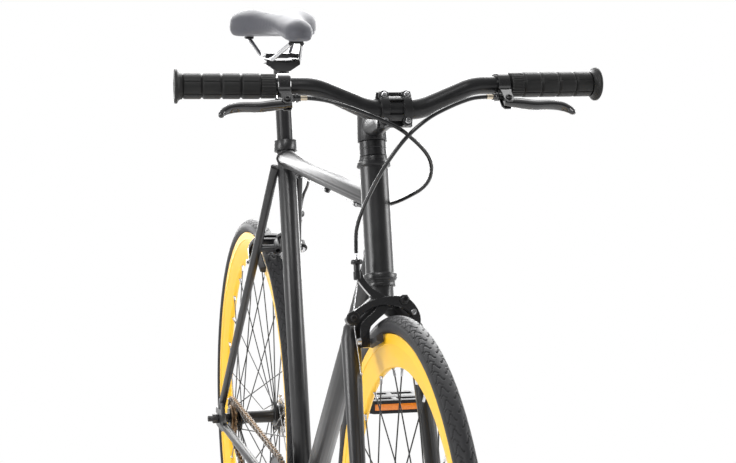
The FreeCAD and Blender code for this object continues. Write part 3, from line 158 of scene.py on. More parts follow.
def sweep(path, radius, steps=20, closed=False):
    # place = path + radius * (cos t * side + sin t * up); the side turns as little as it can
    path = np.asarray(path, float)
    ways = unit(np.roll(path, -1, 0) - np.roll(path, 1, 0) if closed else np.gradient(path, axis=0))
    side = sidesOf(ways[0])[0]
    sides = []
    for way in ways:
        side = unit(side - way * np.dot(side, way))
        sides.append(side)
    ups = np.cross(ways, sides)[:, None]
    radius = np.broadcast_to(np.asarray(radius, float), (len(path),))[:, None, None]
    turn = fullTurn(steps)[:, None]
    places = path[:, None] + radius * (np.cos(turn) * np.array(sides)[:, None] + np.sin(turn) * ups)
    return places.reshape(-1, 3), tubeFaces(len(path), steps, closed)


def slab(outline, low, high):
    # a flat outline in the local X and Y between two heights
    outline = np.asarray(outline, float)
    count = len(outline)
    places = np.concatenate([np.column_stack([outline, np.full(count, z)]) for z in (low, high)])
    return places, tubeFaces(2, count)


def place(shape, origin, right, up, out):
    # local X, Y and Z become three directions at an origin
    return origin + shape[0] @ np.array([right, up, out]), shape[1]


def mirror(shape):
    # x becomes -x, and each face runs the other way round
    return shape[0] * flipped, [faces[:, ::-1] for faces in shape[1]]


def join(*shapes):
    # places one after another, with each shape's faces counted on from the places before it
    places, faces, start = [], [], 0
    for shape in shapes:
        places.append(shape[0])
        faces += [array + start for array in shape[1]]
        start += len(shape[0])
    return np.concatenate(places), faces


def bothSides(shape):
    return join(shape, mirror(shape))


def smoothPath(corners, count):
    # a Catmull-Rom curve through the corners, with its points shared evenly among the runs between them
    corners = np.asarray(corners, float)
    padded = np.concatenate([2 * corners[:1] - corners[1:2], corners, 2 * corners[-1:] - corners[-2:-1]])
    t = np.linspace(0, len(corners) - 1, count)
    k = np.minimum(t.astype(int), len(corners) - 2)
    f = (t - k)[:, None]
    a, b, c, d = (padded[k + n] for n in range(4))
    return 0.5 * (2 * b + (c - a) * f + (2 * a - 5 * b + 4 * c - d) * f ** 2
                  + (3 * b - a - 3 * c + d) * f ** 3)


def bentPath(corners, radius, steps):
    # straight runs whose inner corners are arcs of one radius
    corners = np.asarray(corners, float)
    path = [corners[:1]]
    for before, corner, after in zip(corners, corners[1:], corners[2:]):
        into, away = unit(corner - before), unit(after - corner)
        half = np.arccos(np.clip(np.dot(into, away), -1, 1)) / 2
        centre = corner + unit(away - into) * radius / np.cos(half)
        start = corner - into * radius * np.tan(half) - centre
        inward = unit(corner - centre)
        across = unit(start - inward * np.dot(start, inward))
        angle = np.linspace(half, -half, steps)[:, None]
        path.append(centre + radius * (np.cos(angle) * inward + np.sin(angle) * across))
    return np.concatenate(path + [corners[-1:]])


def ribbon(stations, count):
    # the outline of a bent bar through stations of place and width
    line = smoothPath(stations, count)
    run = unit(np.gradient(line[:, :2], axis=0))
    across = np.column_stack([-run[:, 1], run[:, 0]]) * line[:, 2:] / 2
    return np.concatenate([line[:, :2] + across, (line[:, :2] - across)[::-1]])


# Meshes and objects
def writeMesh(name, shape):
    mesh = bpy.data.meshes.new(name)
    faces = [tuple(face) for array in shape[1] for face in array.tolist()]
    mesh.from_pydata((shape[0] * metre).tolist(), [], faces)
    return mesh


@contextmanager
def reworked(mesh):
    # a mesh opened for bmesh tools and written back after them
    work = bmesh.new()
    work.from_mesh(mesh)
    yield work
    work.to_mesh(mesh)
    work.free()


def tidyMesh(mesh, merge=1e-7):
    # doubles are merged before the normals are turned outwards
    with reworked(mesh) as work:
        bmesh.ops.remove_doubles(work, verts=work.verts, dist=merge)
        bmesh.ops.dissolve_degenerate(work, edges=work.edges, dist=1e-7)
        bmesh.ops.recalc_face_normals(work, faces=work.faces)


def addObject(name, data):
    thing = bpy.data.objects.new(name, data)
    bpy.context.scene.collection.objects.link(thing)
    return thing


def finishPiece(name, mesh, finish, body, slot, bevel=0.0, rounds=2, smooth=38, replaces=None):
    # body is one name to ride on; any other body, such as two names with the two ends of a piece, only has
    # the piece's place baked into its mesh
    piece = addObject(name, mesh)
    mesh.materials.clear()
    mesh.materials.append(finish.material)
    mesh.shade_smooth()
    if bevel:
        edge = piece.modifiers.new("edges", "BEVEL")
        edge.width = bevel * metre
        edge.segments = rounds
        edge.limit_method = "ANGLE"
        edge.angle_limit = math.radians(smooth)
        edge.harden_normals = True
    else:
        mesh.set_sharp_from_angle(angle=math.radians(smooth))
    if isinstance(body, str):
        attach(piece, body)
    else:
        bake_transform(piece)
    if replaces:
        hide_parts(replaces)
    return piece


def makePiece(name, shape, finish, body, slot, **how):
    mesh = writeMesh(name, shape)
    tidyMesh(mesh)
    return finishPiece(name, mesh, finish, body, slot, **how)


def dressNode(node, finish, **how):
    # a merged copy of a solid, its flat faces made whole, its edges rounded and its round faces shaded smooth
    slot = next(row["material_slot"] for row in frame["record"]["subparts"] if row["node"] == node)
    body = next(name for name, nodes in frame["record"]["behaviour"]["bodies"].items() if node in nodes)
    mesh = frame["nodes"][node].data.copy()
    tidyMesh(mesh, merge=2e-6)
    with reworked(mesh) as work:
        bmesh.ops.dissolve_limit(work, angle_limit=math.radians(0.4), verts=work.verts, edges=work.edges)
    finishPiece(node + "_dressed", mesh, finish, body, slot, replaces=node, **how)


# Finishes
class Link:
    # one output socket of a shader node: arithmetic on it adds Math nodes
    def __init__(self, shading, socket):
        self.shading = shading
        self.socket = socket

    def __add__(self, other):
        return maths("ADD", self, other)

    def __sub__(self, other):
        return maths("SUBTRACT", self, other)

    def __rsub__(self, other):
        return maths("SUBTRACT", other, self)

    def __mul__(self, other):
        return maths("MULTIPLY", self, other)

    __radd__ = __add__
    __rmul__ = __mul__


def maths(operation, *values):
    # a Math node on numbers and links, in the tree of the first link among them
    shading = next(value.shading for value in values if isinstance(value, Link))
    return shading.node("Math", {"operation": operation}, dict(enumerate(values)))


class Shading:
    # a node tree, and the one way that nodes are added to it
    def __init__(self, tree):
        self.tree = tree

    def feed(self, socket, value):
        if isinstance(value, Link):
            self.tree.links.new(value.socket, socket)
        else:
            socket.default_value = value

    def node(self, kind, settings=None, values=None, output=0):
        node = self.tree.nodes.new("ShaderNode" + kind)
        for key, value in (settings or {}).items():
            setattr(node, key, value)
        for key, value in (values or {}).items():
            self.feed(node.inputs[key], value)
        return Link(self, node.outputs[output])


class Finish(Shading):
    # a material around one Principled shader; fixed values go straight on the shader's sockets
    labels = dict(colour="Base Color", roughness="Roughness", metallic="Metallic", normal="Normal",
                  coat="Coat Weight", specular="Specular IOR Level")

    def __init__(self, name, **fixed):
        self.material = bpy.data.materials.new(name)
        self.material.use_nodes = True
        super().__init__(self.material.node_tree)
        self.shader = self.tree.nodes["Principled BSDF"]
        for key, value in fixed.items():
            self.set(key, value)
        self.coords = self.node("TexCoord", output="Object")

    def set(self, key, value):
        self.feed(self.shader.inputs[self.labels[key]], value)

    def noise(self, scale, detail):
        return self.node("TexNoise", values={"Vector": self.coords, "Scale": scale, "Detail": detail})

    def blend(self, mask, dark, light):
        values = {0: mask, 6: (*dark, 1), 7: (*light, 1)}
        return self.node("Mix", {"data_type": "RGBA"}, values, 2)

    def bump(self, height, strength, distance):
        values = {"Height": height, "Strength": strength, "Distance": distance * metre}
        self.set("normal", self.node("Bump", values=values))


def plainFinish(name, dark, light, rough, drift, patch, grain, depth, paintedShadeBy=None, **fixed):
    # two close shades in drifting patches, a gloss that drifts with them, and a fine grain;
    # where an attribute is named, it mixes the shades instead of the patches, to paint shade into hollows
    finish = Finish(name, **fixed)
    patches = finish.noise(patch, 3)
    shade = finish.node("Attribute", {"attribute_name": paintedShadeBy}, output="Fac") if paintedShadeBy else patches
    finish.set("colour", finish.blend(shade, dark, light))
    finish.set("roughness", rough + drift * (patches - 0.5))
    finish.bump(finish.noise(grain, 2), 0.25, depth)
    return finish


satinPaint = plainFinish("satinBlackPaint", (0.010, 0.010, 0.011), (0.016, 0.016, 0.017),
                         rough=0.34, drift=0.10, patch=60, grain=700, depth=0.05, specular=0.6)
blackAlloy = plainFinish("blackAnodised", (0.010, 0.010, 0.011), (0.020, 0.020, 0.021),
                         rough=0.33, drift=0.12, patch=90, grain=1400, depth=0.03, metallic=0.25)
glossBlack = plainFinish("glossBlack", (0.006, 0.006, 0.007), (0.010, 0.010, 0.011),
                         rough=0.16, drift=0.05, patch=50, grain=500, depth=0.02, specular=0.6, coat=0.7)
rimYellow = plainFinish("yellowLacquer", (0.90, 0.49, 0.006), (0.95, 0.55, 0.010),
                        rough=0.42, drift=0.08, patch=40, grain=600, depth=0.03)
# the groove attribute mixes in the near-black second shade: painted shade in the sipes and grooves
tyreRubber = plainFinish("tyreRubber", (0.024, 0.024, 0.026), (0.002, 0.002, 0.002),
                         rough=0.5, drift=0.16, patch=120, grain=900, depth=0.20, specular=0.22,
                         paintedShadeBy="groove")
gripRubber = plainFinish("gripRubber", (0.010, 0.010, 0.010), (0.018, 0.018, 0.018),
                         rough=0.5, drift=0.14, patch=150, grain=1200, depth=0.15, specular=0.3)
padRubber = plainFinish("padRubber", (0.018, 0.018, 0.019), (0.030, 0.030, 0.031),
                        rough=0.7, drift=0.1, patch=200, grain=1200, depth=0.10)
cablePlastic = plainFinish("cableSleeve", (0.006, 0.006, 0.007), (0.010, 0.010, 0.011),
                           rough=0.20, drift=0.08, patch=90, grain=900, depth=0.03)
pedalPlastic = plainFinish("pedalPlastic", (0.012, 0.012, 0.013), (0.020, 0.020, 0.021),
                           rough=0.5, drift=0.12, patch=160, grain=1500, depth=0.12, specular=0.2)
silverSteel = plainFinish("brightSteel", (0.55, 0.55, 0.56), (0.68, 0.68, 0.69),
                          rough=0.26, drift=0.12, patch=150, grain=1500, depth=0.03, metallic=1.0)
darkSteel = plainFinish("blackSteel", (0.025, 0.025, 0.026), (0.05, 0.05, 0.05),
                        rough=0.4, drift=0.16, patch=160, grain=1200, depth=0.05, metallic=0.7)
chainBronze = plainFinish("chainBronze", (0.07, 0.055, 0.042), (0.15, 0.12, 0.09),
                          rough=0.34, drift=0.14, patch=200, grain=1500, depth=0.05, metallic=0.9)
cogBronze = plainFinish("cogBronze", (0.17, 0.11, 0.065), (0.26, 0.18, 0.11),
                        rough=0.4, drift=0.16, patch=200, grain=1200, depth=0.05, metallic=0.9)
brass = plainFinish("ferruleBrass", (0.56, 0.48, 0.36), (0.64, 0.57, 0.46),
                    rough=0.3, drift=0.1, patch=200, grain=1500, depth=0.03, metallic=1.0)
saddleVinyl = plainFinish("saddleVinyl", (0.080, 0.081, 0.092), (0.098, 0.099, 0.112),
                          rough=0.50, drift=0.10, patch=70, grain=850, depth=0.12, specular=0.18)
amber = plainFinish("amberReflector", (0.72, 0.17, 0.006), (0.92, 0.27, 0.010),
                    rough=0.2, drift=0.1, patch=300, grain=420, depth=0.5, coat=0.5)
print("finishes made")

# Solids that keep their shape, with the finish and the edges of each
dressed = [
    (satinPaint, dict(bevel=0.6),
     ("top_tube", "down_tube", "seat_tube", "chain_stays", "seat_stays", "fork_blades")),
    (satinPaint, dict(bevel=1.2, rounds=3), ("fork_crown",)),
    (blackAlloy, dict(bevel=0.9), ("stem", "seatpost", "saddle_clamp", "left_crank", "right_crank")),
    (blackAlloy, dict(bevel=0.4), ("chainring",)),
    (pedalPlastic, dict(bevel=0.9), ("left_pedal", "right_pedal")),
    (amber, dict(bevel=0.8), ("left_reflectors", "right_reflectors")),
    (darkSteel, dict(bevel=0.6), ("rear_axle", "front_axle", "crank_spindles")),
    (cogBronze, dict(bevel=0.3), ("rear_cog",)),
    (silverSteel, dict(bevel=0.3), ("freewheel_ring",)),
    (silverSteel, dict(smooth=60), ("saddle_rails",)),
    (padRubber, dict(bevel=1.0), ("front_side_pad", "front_arch_pad", "rear_side_pad", "rear_arch_pad")),
]
for finish, edges, nodes in dressed:
    for node in nodes:
        dressNode(node, finish, **edges)
print("solids dressed")

# Welds: a bead round each place where two tubes of the frame meet
tube = dict(top=14.3, down=15.9, seat=14.3, head=18.3, shell=20.0, topUnderHead=40.5, downUnderHead=105.0,
            topUnderSeat=25.7)
weldBead = dict(radius=1.9, steps=10, turns=64)


def weld(start, way, radius, axisPlace, axisWay, axisRadius):
    # for each turn round a tube, the place where its wall meets another tube's wall, joined into a bead
    way, axisWay = unit(way), unit(axisWay)
    side, up = sidesOf(way)
    turn = fullTurn(weldBead["turns"])[:, None]
    wall = start + radius * (np.cos(turn) * side + np.sin(turn) * up)
    off = wall - axisPlace
    off -= (off @ axisWay)[:, None] * axisWay
    lean = way - np.dot(way, axisWay) * axisWay
    a, b = lean @ lean, off @ lean
    c = np.sum(off * off, axis=1) - axisRadius ** 2
    reach = (-b - np.sqrt(np.maximum(b * b - a * c, 0))) / a
    return sweep(wall + reach[:, None] * way, weldBead["radius"], weldBead["steps"], closed=True)


topFront = headTop - tube["topUnderHead"] * steerAxis
topRear = seatTop - tube["topUnderSeat"] * seatAxis
downFront = headTop - tube["downUnderHead"] * steerAxis
welds = [
    weld(topRear, topFront - topRear, tube["top"], headBottom, steerAxis, tube["head"]),
    weld(bottomBracket, downFront - bottomBracket, tube["down"], headBottom, steerAxis, tube["head"]),
    weld(topFront, topRear - topFront, tube["top"], bottomBracket, seatAxis, tube["seat"]),
    weld(downFront, bottomBracket - downFront, tube["down"], bottomBracket, xAxis, tube["shell"]),
    weld(seatTop, -seatAxis, tube["seat"], bottomBracket, xAxis, tube["shell"]),
]
makePiece("weldBeads", join(*welds), satinPaint, "frame", "satin_black")

# Head tube between two stepped headset cups, as one turned outline along the steering axis
headset = [(-12.7, 15.0), (-12.7, 18.4), (-9.6, 18.9), (-9.3, 20.2), (-7.2, 20.8), (-6.8, 21.7), (-2.4, 22.0),
           (-1.2, 21.5), (-0.8, 19.9), (-0.1, 19.4), (0.0, 18.3),
           (137.0, 18.3), (137.1, 19.4), (137.8, 20.2), (138.2, 21.6), (139.2, 22.0), (143.0, 21.8),
           (143.6, 21.0), (143.9, 19.9), (147.0, 19.6), (147.4, 18.8), (150.2, 18.4), (150.7, 17.6),
           (150.7, 15.0)]
makePiece("headTube", lathe(headset, headBottom, steerAxis, 64), satinPaint, "frame", "satin_black",
          smooth=32, replaces="head_tube")

# Stem faceplate: two straps with lugs at both ends, and a lower web between them above and below the window
faceplate = dict(near=1.0, inner=12.9, outer=17.8, turn=50, reach=21.4, lug=8.6, strapLow=9.0, strapHigh=19.6,
                 webOuter=16.4, webTurn=36, webEnd=70, webReach=15.6, webOverlap=0.5)


def barArc(radius, low, high):
    # up and out on an arc round the bar between two turns
    turn = np.radians(np.linspace(low, high, 25))
    return np.column_stack([radius * np.sin(turn), radius * np.cos(turn)])


def makeFaceplate():
    # each outline is an outer arc, the ends that come near the bar's middle plane, and an inner arc
    near, inner, turn, reach, lug = pick(faceplate, "near inner turn reach lug")
    close = math.degrees(math.acos(near / inner))
    lugs = np.array([(reach - 2.2, lug + 0.6), (reach - 0.5, lug - 0.6), (reach, lug - 2.4), (reach, near)])
    strap = np.concatenate([lugs[::-1] * (-1, 1), barArc(faceplate["outer"], -turn, turn), lugs,
                            barArc(inner, close, -close)])
    webOuter, webTurn, webEnd, webReach = pick(faceplate, "webOuter webTurn webEnd webReach")
    web = np.concatenate([barArc(webOuter, webTurn, webEnd), [(webReach, near)],
                          barArc(inner, close, webTurn)])
    origin = spot(0, 0, 0)
    straps = slab(strap, faceplate["strapLow"], faceplate["strapHigh"])
    half = faceplate["strapLow"] + faceplate["webOverlap"]
    webs = [place(slab(web, -half, half), origin, up * yAxis, zAxis, xAxis) for up in (1, -1)]
    whole = join(bothSides(place(straps, origin, yAxis, zAxis, xAxis)), *webs)
    return place(whole, barCentre, xAxis, steerAxis, steerFront)


makePiece("faceplate", makeFaceplate(), blackAlloy, "steering", "black_alloy", bevel=1.1,
          replaces="stem_faceplate")

# Spacers: two bands with chamfered edges between the headset and the stem
spacer = dict(outline=[(14.2, 16.7), (14.3, 17.1), (14.9, 17.6), (23.0, 17.6), (23.6, 17.1), (23.8, 16.7)],
              pitch=10.0)
spacers = [(along + shift, radius) for shift in (0, spacer["pitch"]) for along, radius in spacer["outline"]]
makePiece("spacers", lathe(spacers, headTop, steerAxis, 56), blackAlloy, "steering", "satin_black", smooth=30)
print("frame made")

# Bar: a level middle, a rise on each side, then straight to the grips
bar = dict(radius=11.1, centreRadius=12.7, taperStart=30.0, taperRun=45.0, bendStart=33.0, bendEnd=100.0,
           bendRadius=62.0, halfWidth=266.0)


def makeBar():
    # a tube along a bent path, thinner away from the clamp; the other half mirrors the path
    inner = barCentre + spot(bar["bendStart"], 0, 0)
    end = barBend + barOut * (bar["halfWidth"] - bar["bendEnd"]) / barOut[0]
    path = bentPath([barCentre, inner, barBend, end], bar["bendRadius"], 14)
    half = np.linspace(0, 1, 12)[:, None]
    path = np.concatenate([path[0] * (1 - half) + path[1] * half, path[2:]])
    thinner = ease((path[:, 0] - bar["taperStart"]) / bar["taperRun"])
    radius = bar["centreRadius"] + (bar["radius"] - bar["centreRadius"]) * thinner
    whole = np.concatenate([(path * flipped)[:0:-1], path])
    return sweep(whole, np.concatenate([radius[:0:-1], radius]), 40)


makePiece("riserBar", makeBar(), blackAlloy, "steering", "black_alloy", replaces="handlebar")

# Grips: a ribbed collar, four rings of blocks parted by grooves, and an end flange
grip = dict(start=148.0, bore=11.2, collar=18.0, radius=15.6, collarRadius=15.0, flange=21.0,
            flangeWidth=6.0, cap=4.0, blocks=4, panels=6, groove=2.0, grooveHalf=2.2, line=0.9, lineHalf=1.0,
            rib=0.7, ribs=26)


def onBar(along, radius, turn):
    # place = bend + along * barOut + radius * (cos t * leverWay + sin t * leverAcross)
    circle = np.cos(turn)[..., None] * leverWay + np.sin(turn)[..., None] * leverAcross
    return barBend + along[..., None] * barOut + radius[..., None] * circle


def makeGrip():
    # radius = skin - the deeper of its grooves, on a grid along the bar and round it, then a turned end
    start, end = ((x - bar["bendEnd"]) / barOut[0] for x in (grip["start"], bar["halfWidth"]))
    skin, collar, lip = pick(grip, "radius collarRadius flange")
    body, flange, cap = start + grip["collar"], end - grip["flangeWidth"], end + grip["cap"]
    along = np.concatenate([[start, start + 0.01, start + 0.8], np.linspace(start + 1, body - 0.6, 6),
                            np.linspace(body, flange, 110)])
    radius = np.where(along < body - 0.3, collar, skin)
    radius[:2] = grip["bore"], collar - 0.9
    turn = fullTurn(180)
    a, t = np.meshgrid(along, turn, indexing="ij")
    onBody = a >= body - 0.1
    rings = dip(nearest(a - body, (flange - body) / grip["blocks"]), grip["grooveHalf"])
    lines = dip(nearest(t, 2 * np.pi / grip["panels"]) * skin, grip["lineHalf"])
    ribs = ~onBody * (a > start + 0.9) * grip["rib"] * (0.5 + 0.5 * np.cos(grip["ribs"] * t))
    r = radius[:, None] - onBody * np.maximum(grip["groove"] * rings, grip["line"] * lines) - ribs
    tail = [(flange, skin), (flange + 2.6, skin + 0.5), (flange + 4.6, skin + 1.9), (flange + 5.6, lip - 1.6),
            (flange + 6.1, lip - 0.4), (flange + 6.8, lip), (cap - 1.2, lip), (cap - 0.3, lip - 0.7),
            (cap, lip - 2.2), (cap, 9.5), (cap - 0.8, 8.6), (cap - 0.8, 0.01)]
    tailAlong, tailRadius = np.array(tail).T[:, :, None]
    places = np.concatenate([onBar(a, r, t), onBar(tailAlong, tailRadius, turn)])
    return places.reshape(-1, 3), [gridFaces(len(places), len(turn))]


makePiece("blockGrips", bothSides(makeGrip()), gripRubber, "steering", "grip_rubber", smooth=60,
          replaces="grips")

# Levers: a rounded blade that sweeps out from its pivot and curls down to a ball at the tip
lever = dict(pivot=(36.209, 33.0), length=82.0, width=12.0, thickness=12.0, square=0.72, ball=3.6, steps=28)


def onLever(x, y, z=0.0):
    # place = bend + x * barOut + y * leverWay + z * leverAcross
    return barBend + x * barOut + y * leverWay + z * leverAcross


def makeLever():
    # place = line + width / 2 * c * across + thickness / 2 * s * leverAcross,
    # with c and s on a circle drawn out towards a square
    far, wide, ball = pick(lever, "length width ball")
    stations = [(-5, 0.5, wide - 2), (0.05 * far, 1.5, wide), (0.2 * far, 4.0, wide + 0.5),
                (0.42 * far, 7.6, wide - 0.5), (0.66 * far, 7.6, wide - 1.5), (0.83 * far, 10.5, wide - 3),
                (0.94 * far, 16.5, wide - 4.2), (0.985 * far, 22.5, wide - 4.8)]
    line = smoothPath(stations, 48)
    path = barBend + (line[:, :2] + lever["pivot"]) @ np.array([barOut, leverWay])
    ways = unit(np.gradient(path, axis=0))
    across = np.cross(ways, leverAcross)[:, None]
    c, s = np.array(squaredCircle(lever["steps"], lever["square"]))[:, None, :, None]
    share = np.interp(np.linspace(0, 1, len(path)), [0, 0.12, 0.3, 0.75, 1], [0.72, 0.76, 0.95, 0.95, 0.62])
    thick = share[:, None, None] * lever["thickness"]
    places = path[:, None] + line[:, 2][:, None, None] / 2 * c * across + thick / 2 * s * leverAcross
    blade = places.reshape(-1, 3), tubeFaces(len(path), lever["steps"])
    t = np.linspace(0, np.pi, 12)
    tip = np.column_stack([-ball * np.cos(t), np.maximum(ball * np.sin(t), 0.001)])
    return join(blade, lathe(tip, path[-1], ways[-1], 24))


# Lever brackets: a band round the bar, an arm, two cheeks round the blade, and the cable's adjuster
bracket = dict(low=30.2, high=46.2, inner=11.4, outer=15.4, chamfer=1.0, half=6.2, cheekLow=4.9,
               cheekHigh=7.0, reach=23.0, barrel=19.4,
               arm=[(38.2, 12.5, 17), (38.0, 16, 15.5), (37.5, 20, 14), (37.0, 24.6, 13.2)],
               cheek=[(37.0, 22, 13), (36.4, 29, 13.5), (36.2, 35, 13), (36.2, 39.5, 8)])


def makeBracket():
    # flat plates in the lever's plane, and turned pieces round the bar and along the cable
    low, high, inner, outer, chamfer, half, end = pick(bracket, "low high inner outer chamfer half barrel")
    edge = [(low, inner), (low, outer - chamfer), (low + chamfer, outer), (high - chamfer, outer),
            (high, outer - chamfer), (high, inner)]
    band = lathe(edge, barBend, barOut, 48, ring=True)
    cheek = ribbon(bracket["cheek"], 24)
    cheeks = [slab(cheek, side * bracket["cheekLow"], side * bracket["cheekHigh"]) for side in (-1, 1)]
    plates = join(slab(ribbon(bracket["arm"], 20), -half, half), *cheeks)
    adjuster = [(33, 0.01), (33, 5.2), (27, 5.2), (26.4, 4.2), (25.6, 4.2), (25.4, 5.6), (22.6, 5.6),
                (22.2, 4.6), (end, 4.2), (end, 2.8), (end + 5, 2.7), (end + 5, 0.01)]
    barrel = lathe(adjuster, onLever(0, bracket["reach"]), barOut, 28)
    return place(plates, barBend, barOut, leverWay, leverAcross), join(band, barrel)


bracketPlates, bracketRounds = makeBracket()
makePiece("leverClamps", bothSides(bracketPlates), glossBlack, "steering", "black_alloy", bevel=1.6, rounds=3,
          replaces="lever_brackets")
makePiece("leverBands", bothSides(bracketRounds), glossBlack, "steering", "black_alloy", smooth=40)
leftLever = makeLever()
for name, shape in (("left", leftLever), ("right", mirror(leftLever))):
    makePiece(name + "Blade", shape, glossBlack, "lever_" + name, "gloss_black", smooth=50,
              replaces=name + "_lever")
print("bar, grips and levers made")

# Tyres: a round casing whose shoulders carry wavy sipes and whose crown stays slick
tyre = dict(radius=338.0, half=14.0, columns=1920, sipePitch=21.0, sipeHalf=2.1, sipeDepth=1.3,
            sipeFrom=1.6, sipeTo=14.2, wave=5.2, waveRate=0.6, shortFrom=5.5, shortTo=13.6, shortWave=3.0,
            shortShare=0.8, lines=((14.6, 0.7), (17.2, 0.6)), lineShare=0.5)


def makeTyre(axle):
    # place = axle + x * X + r * (cos u * Y + sin u * Z), with x and r on the casing's circle less its grooves
    half, wave, waveRate = pick(tyre, "half wave waveRate")
    side = np.radians([-34, -20, -5, 10, 22])
    around = np.concatenate([side, np.radians(np.linspace(30, 150, 31)), np.pi - side[::-1]])
    f, u = np.meshgrid(around, fullTurn(tyre["columns"]), indexing="ij")
    across = (np.pi / 2 - f) * half
    reach = np.abs(across)
    girth = 2 * np.pi * tyre["radius"]
    pitch = girth / round(girth / tyre["sipePitch"])
    along = u * tyre["radius"] + (across > 0) * pitch / 2
    sipe = dip(nearest(along - wave * np.sin(reach * waveRate), pitch), tyre["sipeHalf"])
    sipe = sipe * (reach > tyre["sipeFrom"]) * (reach < tyre["sipeTo"])
    between = nearest(along + tyre["shortWave"] * np.cos(reach * waveRate) - pitch / 2, pitch)
    short = tyre["shortShare"] * dip(between, tyre["sipeHalf"] * 0.8)
    short = short * (reach > tyre["shortFrom"]) * (reach < tyre["shortTo"])
    lines = tyre["lineShare"] * sum(dip(reach - middle, width) for middle, width in tyre["lines"])
    groove = np.maximum(np.maximum(sipe, short), lines)
    size = half - tyre["sipeDepth"] * groove
    x = size * np.cos(f) * np.where((f < 0) | (f > np.pi), np.abs(np.cos(f)), 1)
    r = tyre["radius"] - half + size * np.sin(f)
    places = axle + np.stack([x, r * np.cos(u), r * np.sin(u)], -1)
    return (places.reshape(-1, 3), [gridFaces(*f.shape, closed=True)]), groove.ravel()


# Rims: deep and V shaped, with an upright brake track and a round nose
rim = dict(edge=316.0, track=303.0, nose=274.0, half=11.0, noseHalf=4.5, noseDepth=3.2, bulge=0.7,
           step=0.9, lip=0.8)


def makeRim(axle):
    # across and radius of one side, from the nose over a bowed flank to the edge, then its mirror image
    edge, track, half, lip = pick(rim, "edge track half lip")
    t = np.linspace(0, np.pi / 2, 7)[1:]
    nose = np.column_stack([rim["noseHalf"] * np.sin(t), rim["nose"] + rim["noseDepth"] * (1 - np.cos(t))])
    share = np.linspace(0, 1, 8)[1:-1, None]
    foot = spot(half - rim["step"], track - 0.4)
    flank = nose[-1] * (1 - share) + foot * share + rim["bulge"] * np.sin(np.pi * share) * spot(1, 0)
    upright = [foot, (half, track), (half, edge - lip), (half - lip, edge), (half - 2, edge - 4)]
    side = np.concatenate([nose, flank, upright])
    whole = np.concatenate([[(0, rim["nose"])], side, side[::-1] * spot(-1, 1)])
    return lathe(whole, axle, xAxis, 288, ring=True)


# Spokes: laced three-cross, alternately from the two flanges, each ending in a nipple at the rim's nose
lacing = dict(count=32, crossings=3, radius=1.0, rimOffset=1.5, holeInset=4.0, flange=3.5, rim=273.7,
              flareGap=0.3, head=1.5, butt=8.0, thin=14.0, thread=10.0, radii=(1.15, 1.1, 0.95, 0.95, 1.0),
              nipple=[(-9.5, 1.02), (-9.5, 1.5), (-8.8, 1.75), (-1.5, 1.75), (-1.2, 2.4), (0.3, 2.4),
                      (0.3, 1.0)])


def spokeEnds(axle, spacing, flange):
    # inner ends on a circle at each flange, turned by the crossings from the outer ends at the rim
    outer, number = lacing["rim"], np.arange(lacing["count"])
    step = 2 * np.pi / lacing["count"]
    side = np.where(number % 2 == 0, 1, -1)
    leading = np.where((number // 2) % 2 == 0, 1, -1)
    angle = -np.pi / 2 + (number + 0.5) * step
    circle = flange - lacing["holeInset"]
    flare = spacing / 2 / outer * math.sqrt(flange ** 2 - circle ** 2) + lacing["flareGap"]
    beside = lacing["flange"] / 2 + lacing["radius"]
    face = spacing / 2 + np.where(leading > 0, beside + flare, -beside)
    hubAngle = angle - leading * lacing["crossings"] * 2 * step
    start = np.stack([side * face, circle * np.cos(hubAngle), circle * np.sin(hubAngle)], -1)
    end = np.stack([side * lacing["rimOffset"], outer * np.cos(angle), outer * np.sin(angle)], -1)
    return axle + start, axle + end


def makeSpokes(axle, spacing, flange):
    # a rod that thins between its two ends, and a turned nipple at the outer one
    rods, nipples = [], []
    head, butt, thin, thread = pick(lacing, "head butt thin thread")
    for a, b in zip(*spokeEnds(axle, spacing, flange)):
        way = unit(b - a)
        path = [a - way * head, a + way * butt, a + way * thin, b - way * thread, b]
        rods.append(sweep(path, lacing["radii"], 8))
        nipples.append(lathe(lacing["nipple"], b, way, 8))
    return join(*rods), join(*nipples)


# Hubs: a round barrel between two flanges, with a collar outside each flange
hub = dict(barrel=11.0, flange=3.5, bore=5.2)
wheels = dict(front=dict(axle=frontAxle, spacing=66.0, flange=20.0, left=12.0, right=12.0, end=43.0),
              rear=dict(axle=rearAxle, spacing=62.0, flange=25.0, left=19.0, right=17.0, end=49.0))
valve = [(0, 0.01), (0, 2.4), (0.5, 3.0), (18, 3.0), (18.4, 3.6), (28, 3.4), (29.5, 2.6), (30, 0.01)]


def makeHub(axle, spacing, flange, left, right, end):
    # a turned outline: each side goes from the barrel over the flange and the collar to the end
    barrel = hub["barrel"]
    inner, outer = spacing / 2 - hub["flange"] / 2, spacing / 2 + hub["flange"] / 2

    def side(collar):
        return [(inner - 9, barrel), (inner - 3, barrel + 1), (inner - 0.8, barrel + 3.6),
                (inner, flange - 1.0), (inner + 0.8, flange), (outer - 0.8, flange), (outer, flange - 0.8),
                (outer + 0.2, collar + 2.0), (outer + 1.4, collar), (end - 1, collar), (end, collar - 1),
                (end, hub["bore"])]
    return lathe([(-a, r) for a, r in side(right)[::-1]] + side(left), axle, xAxis, 64)


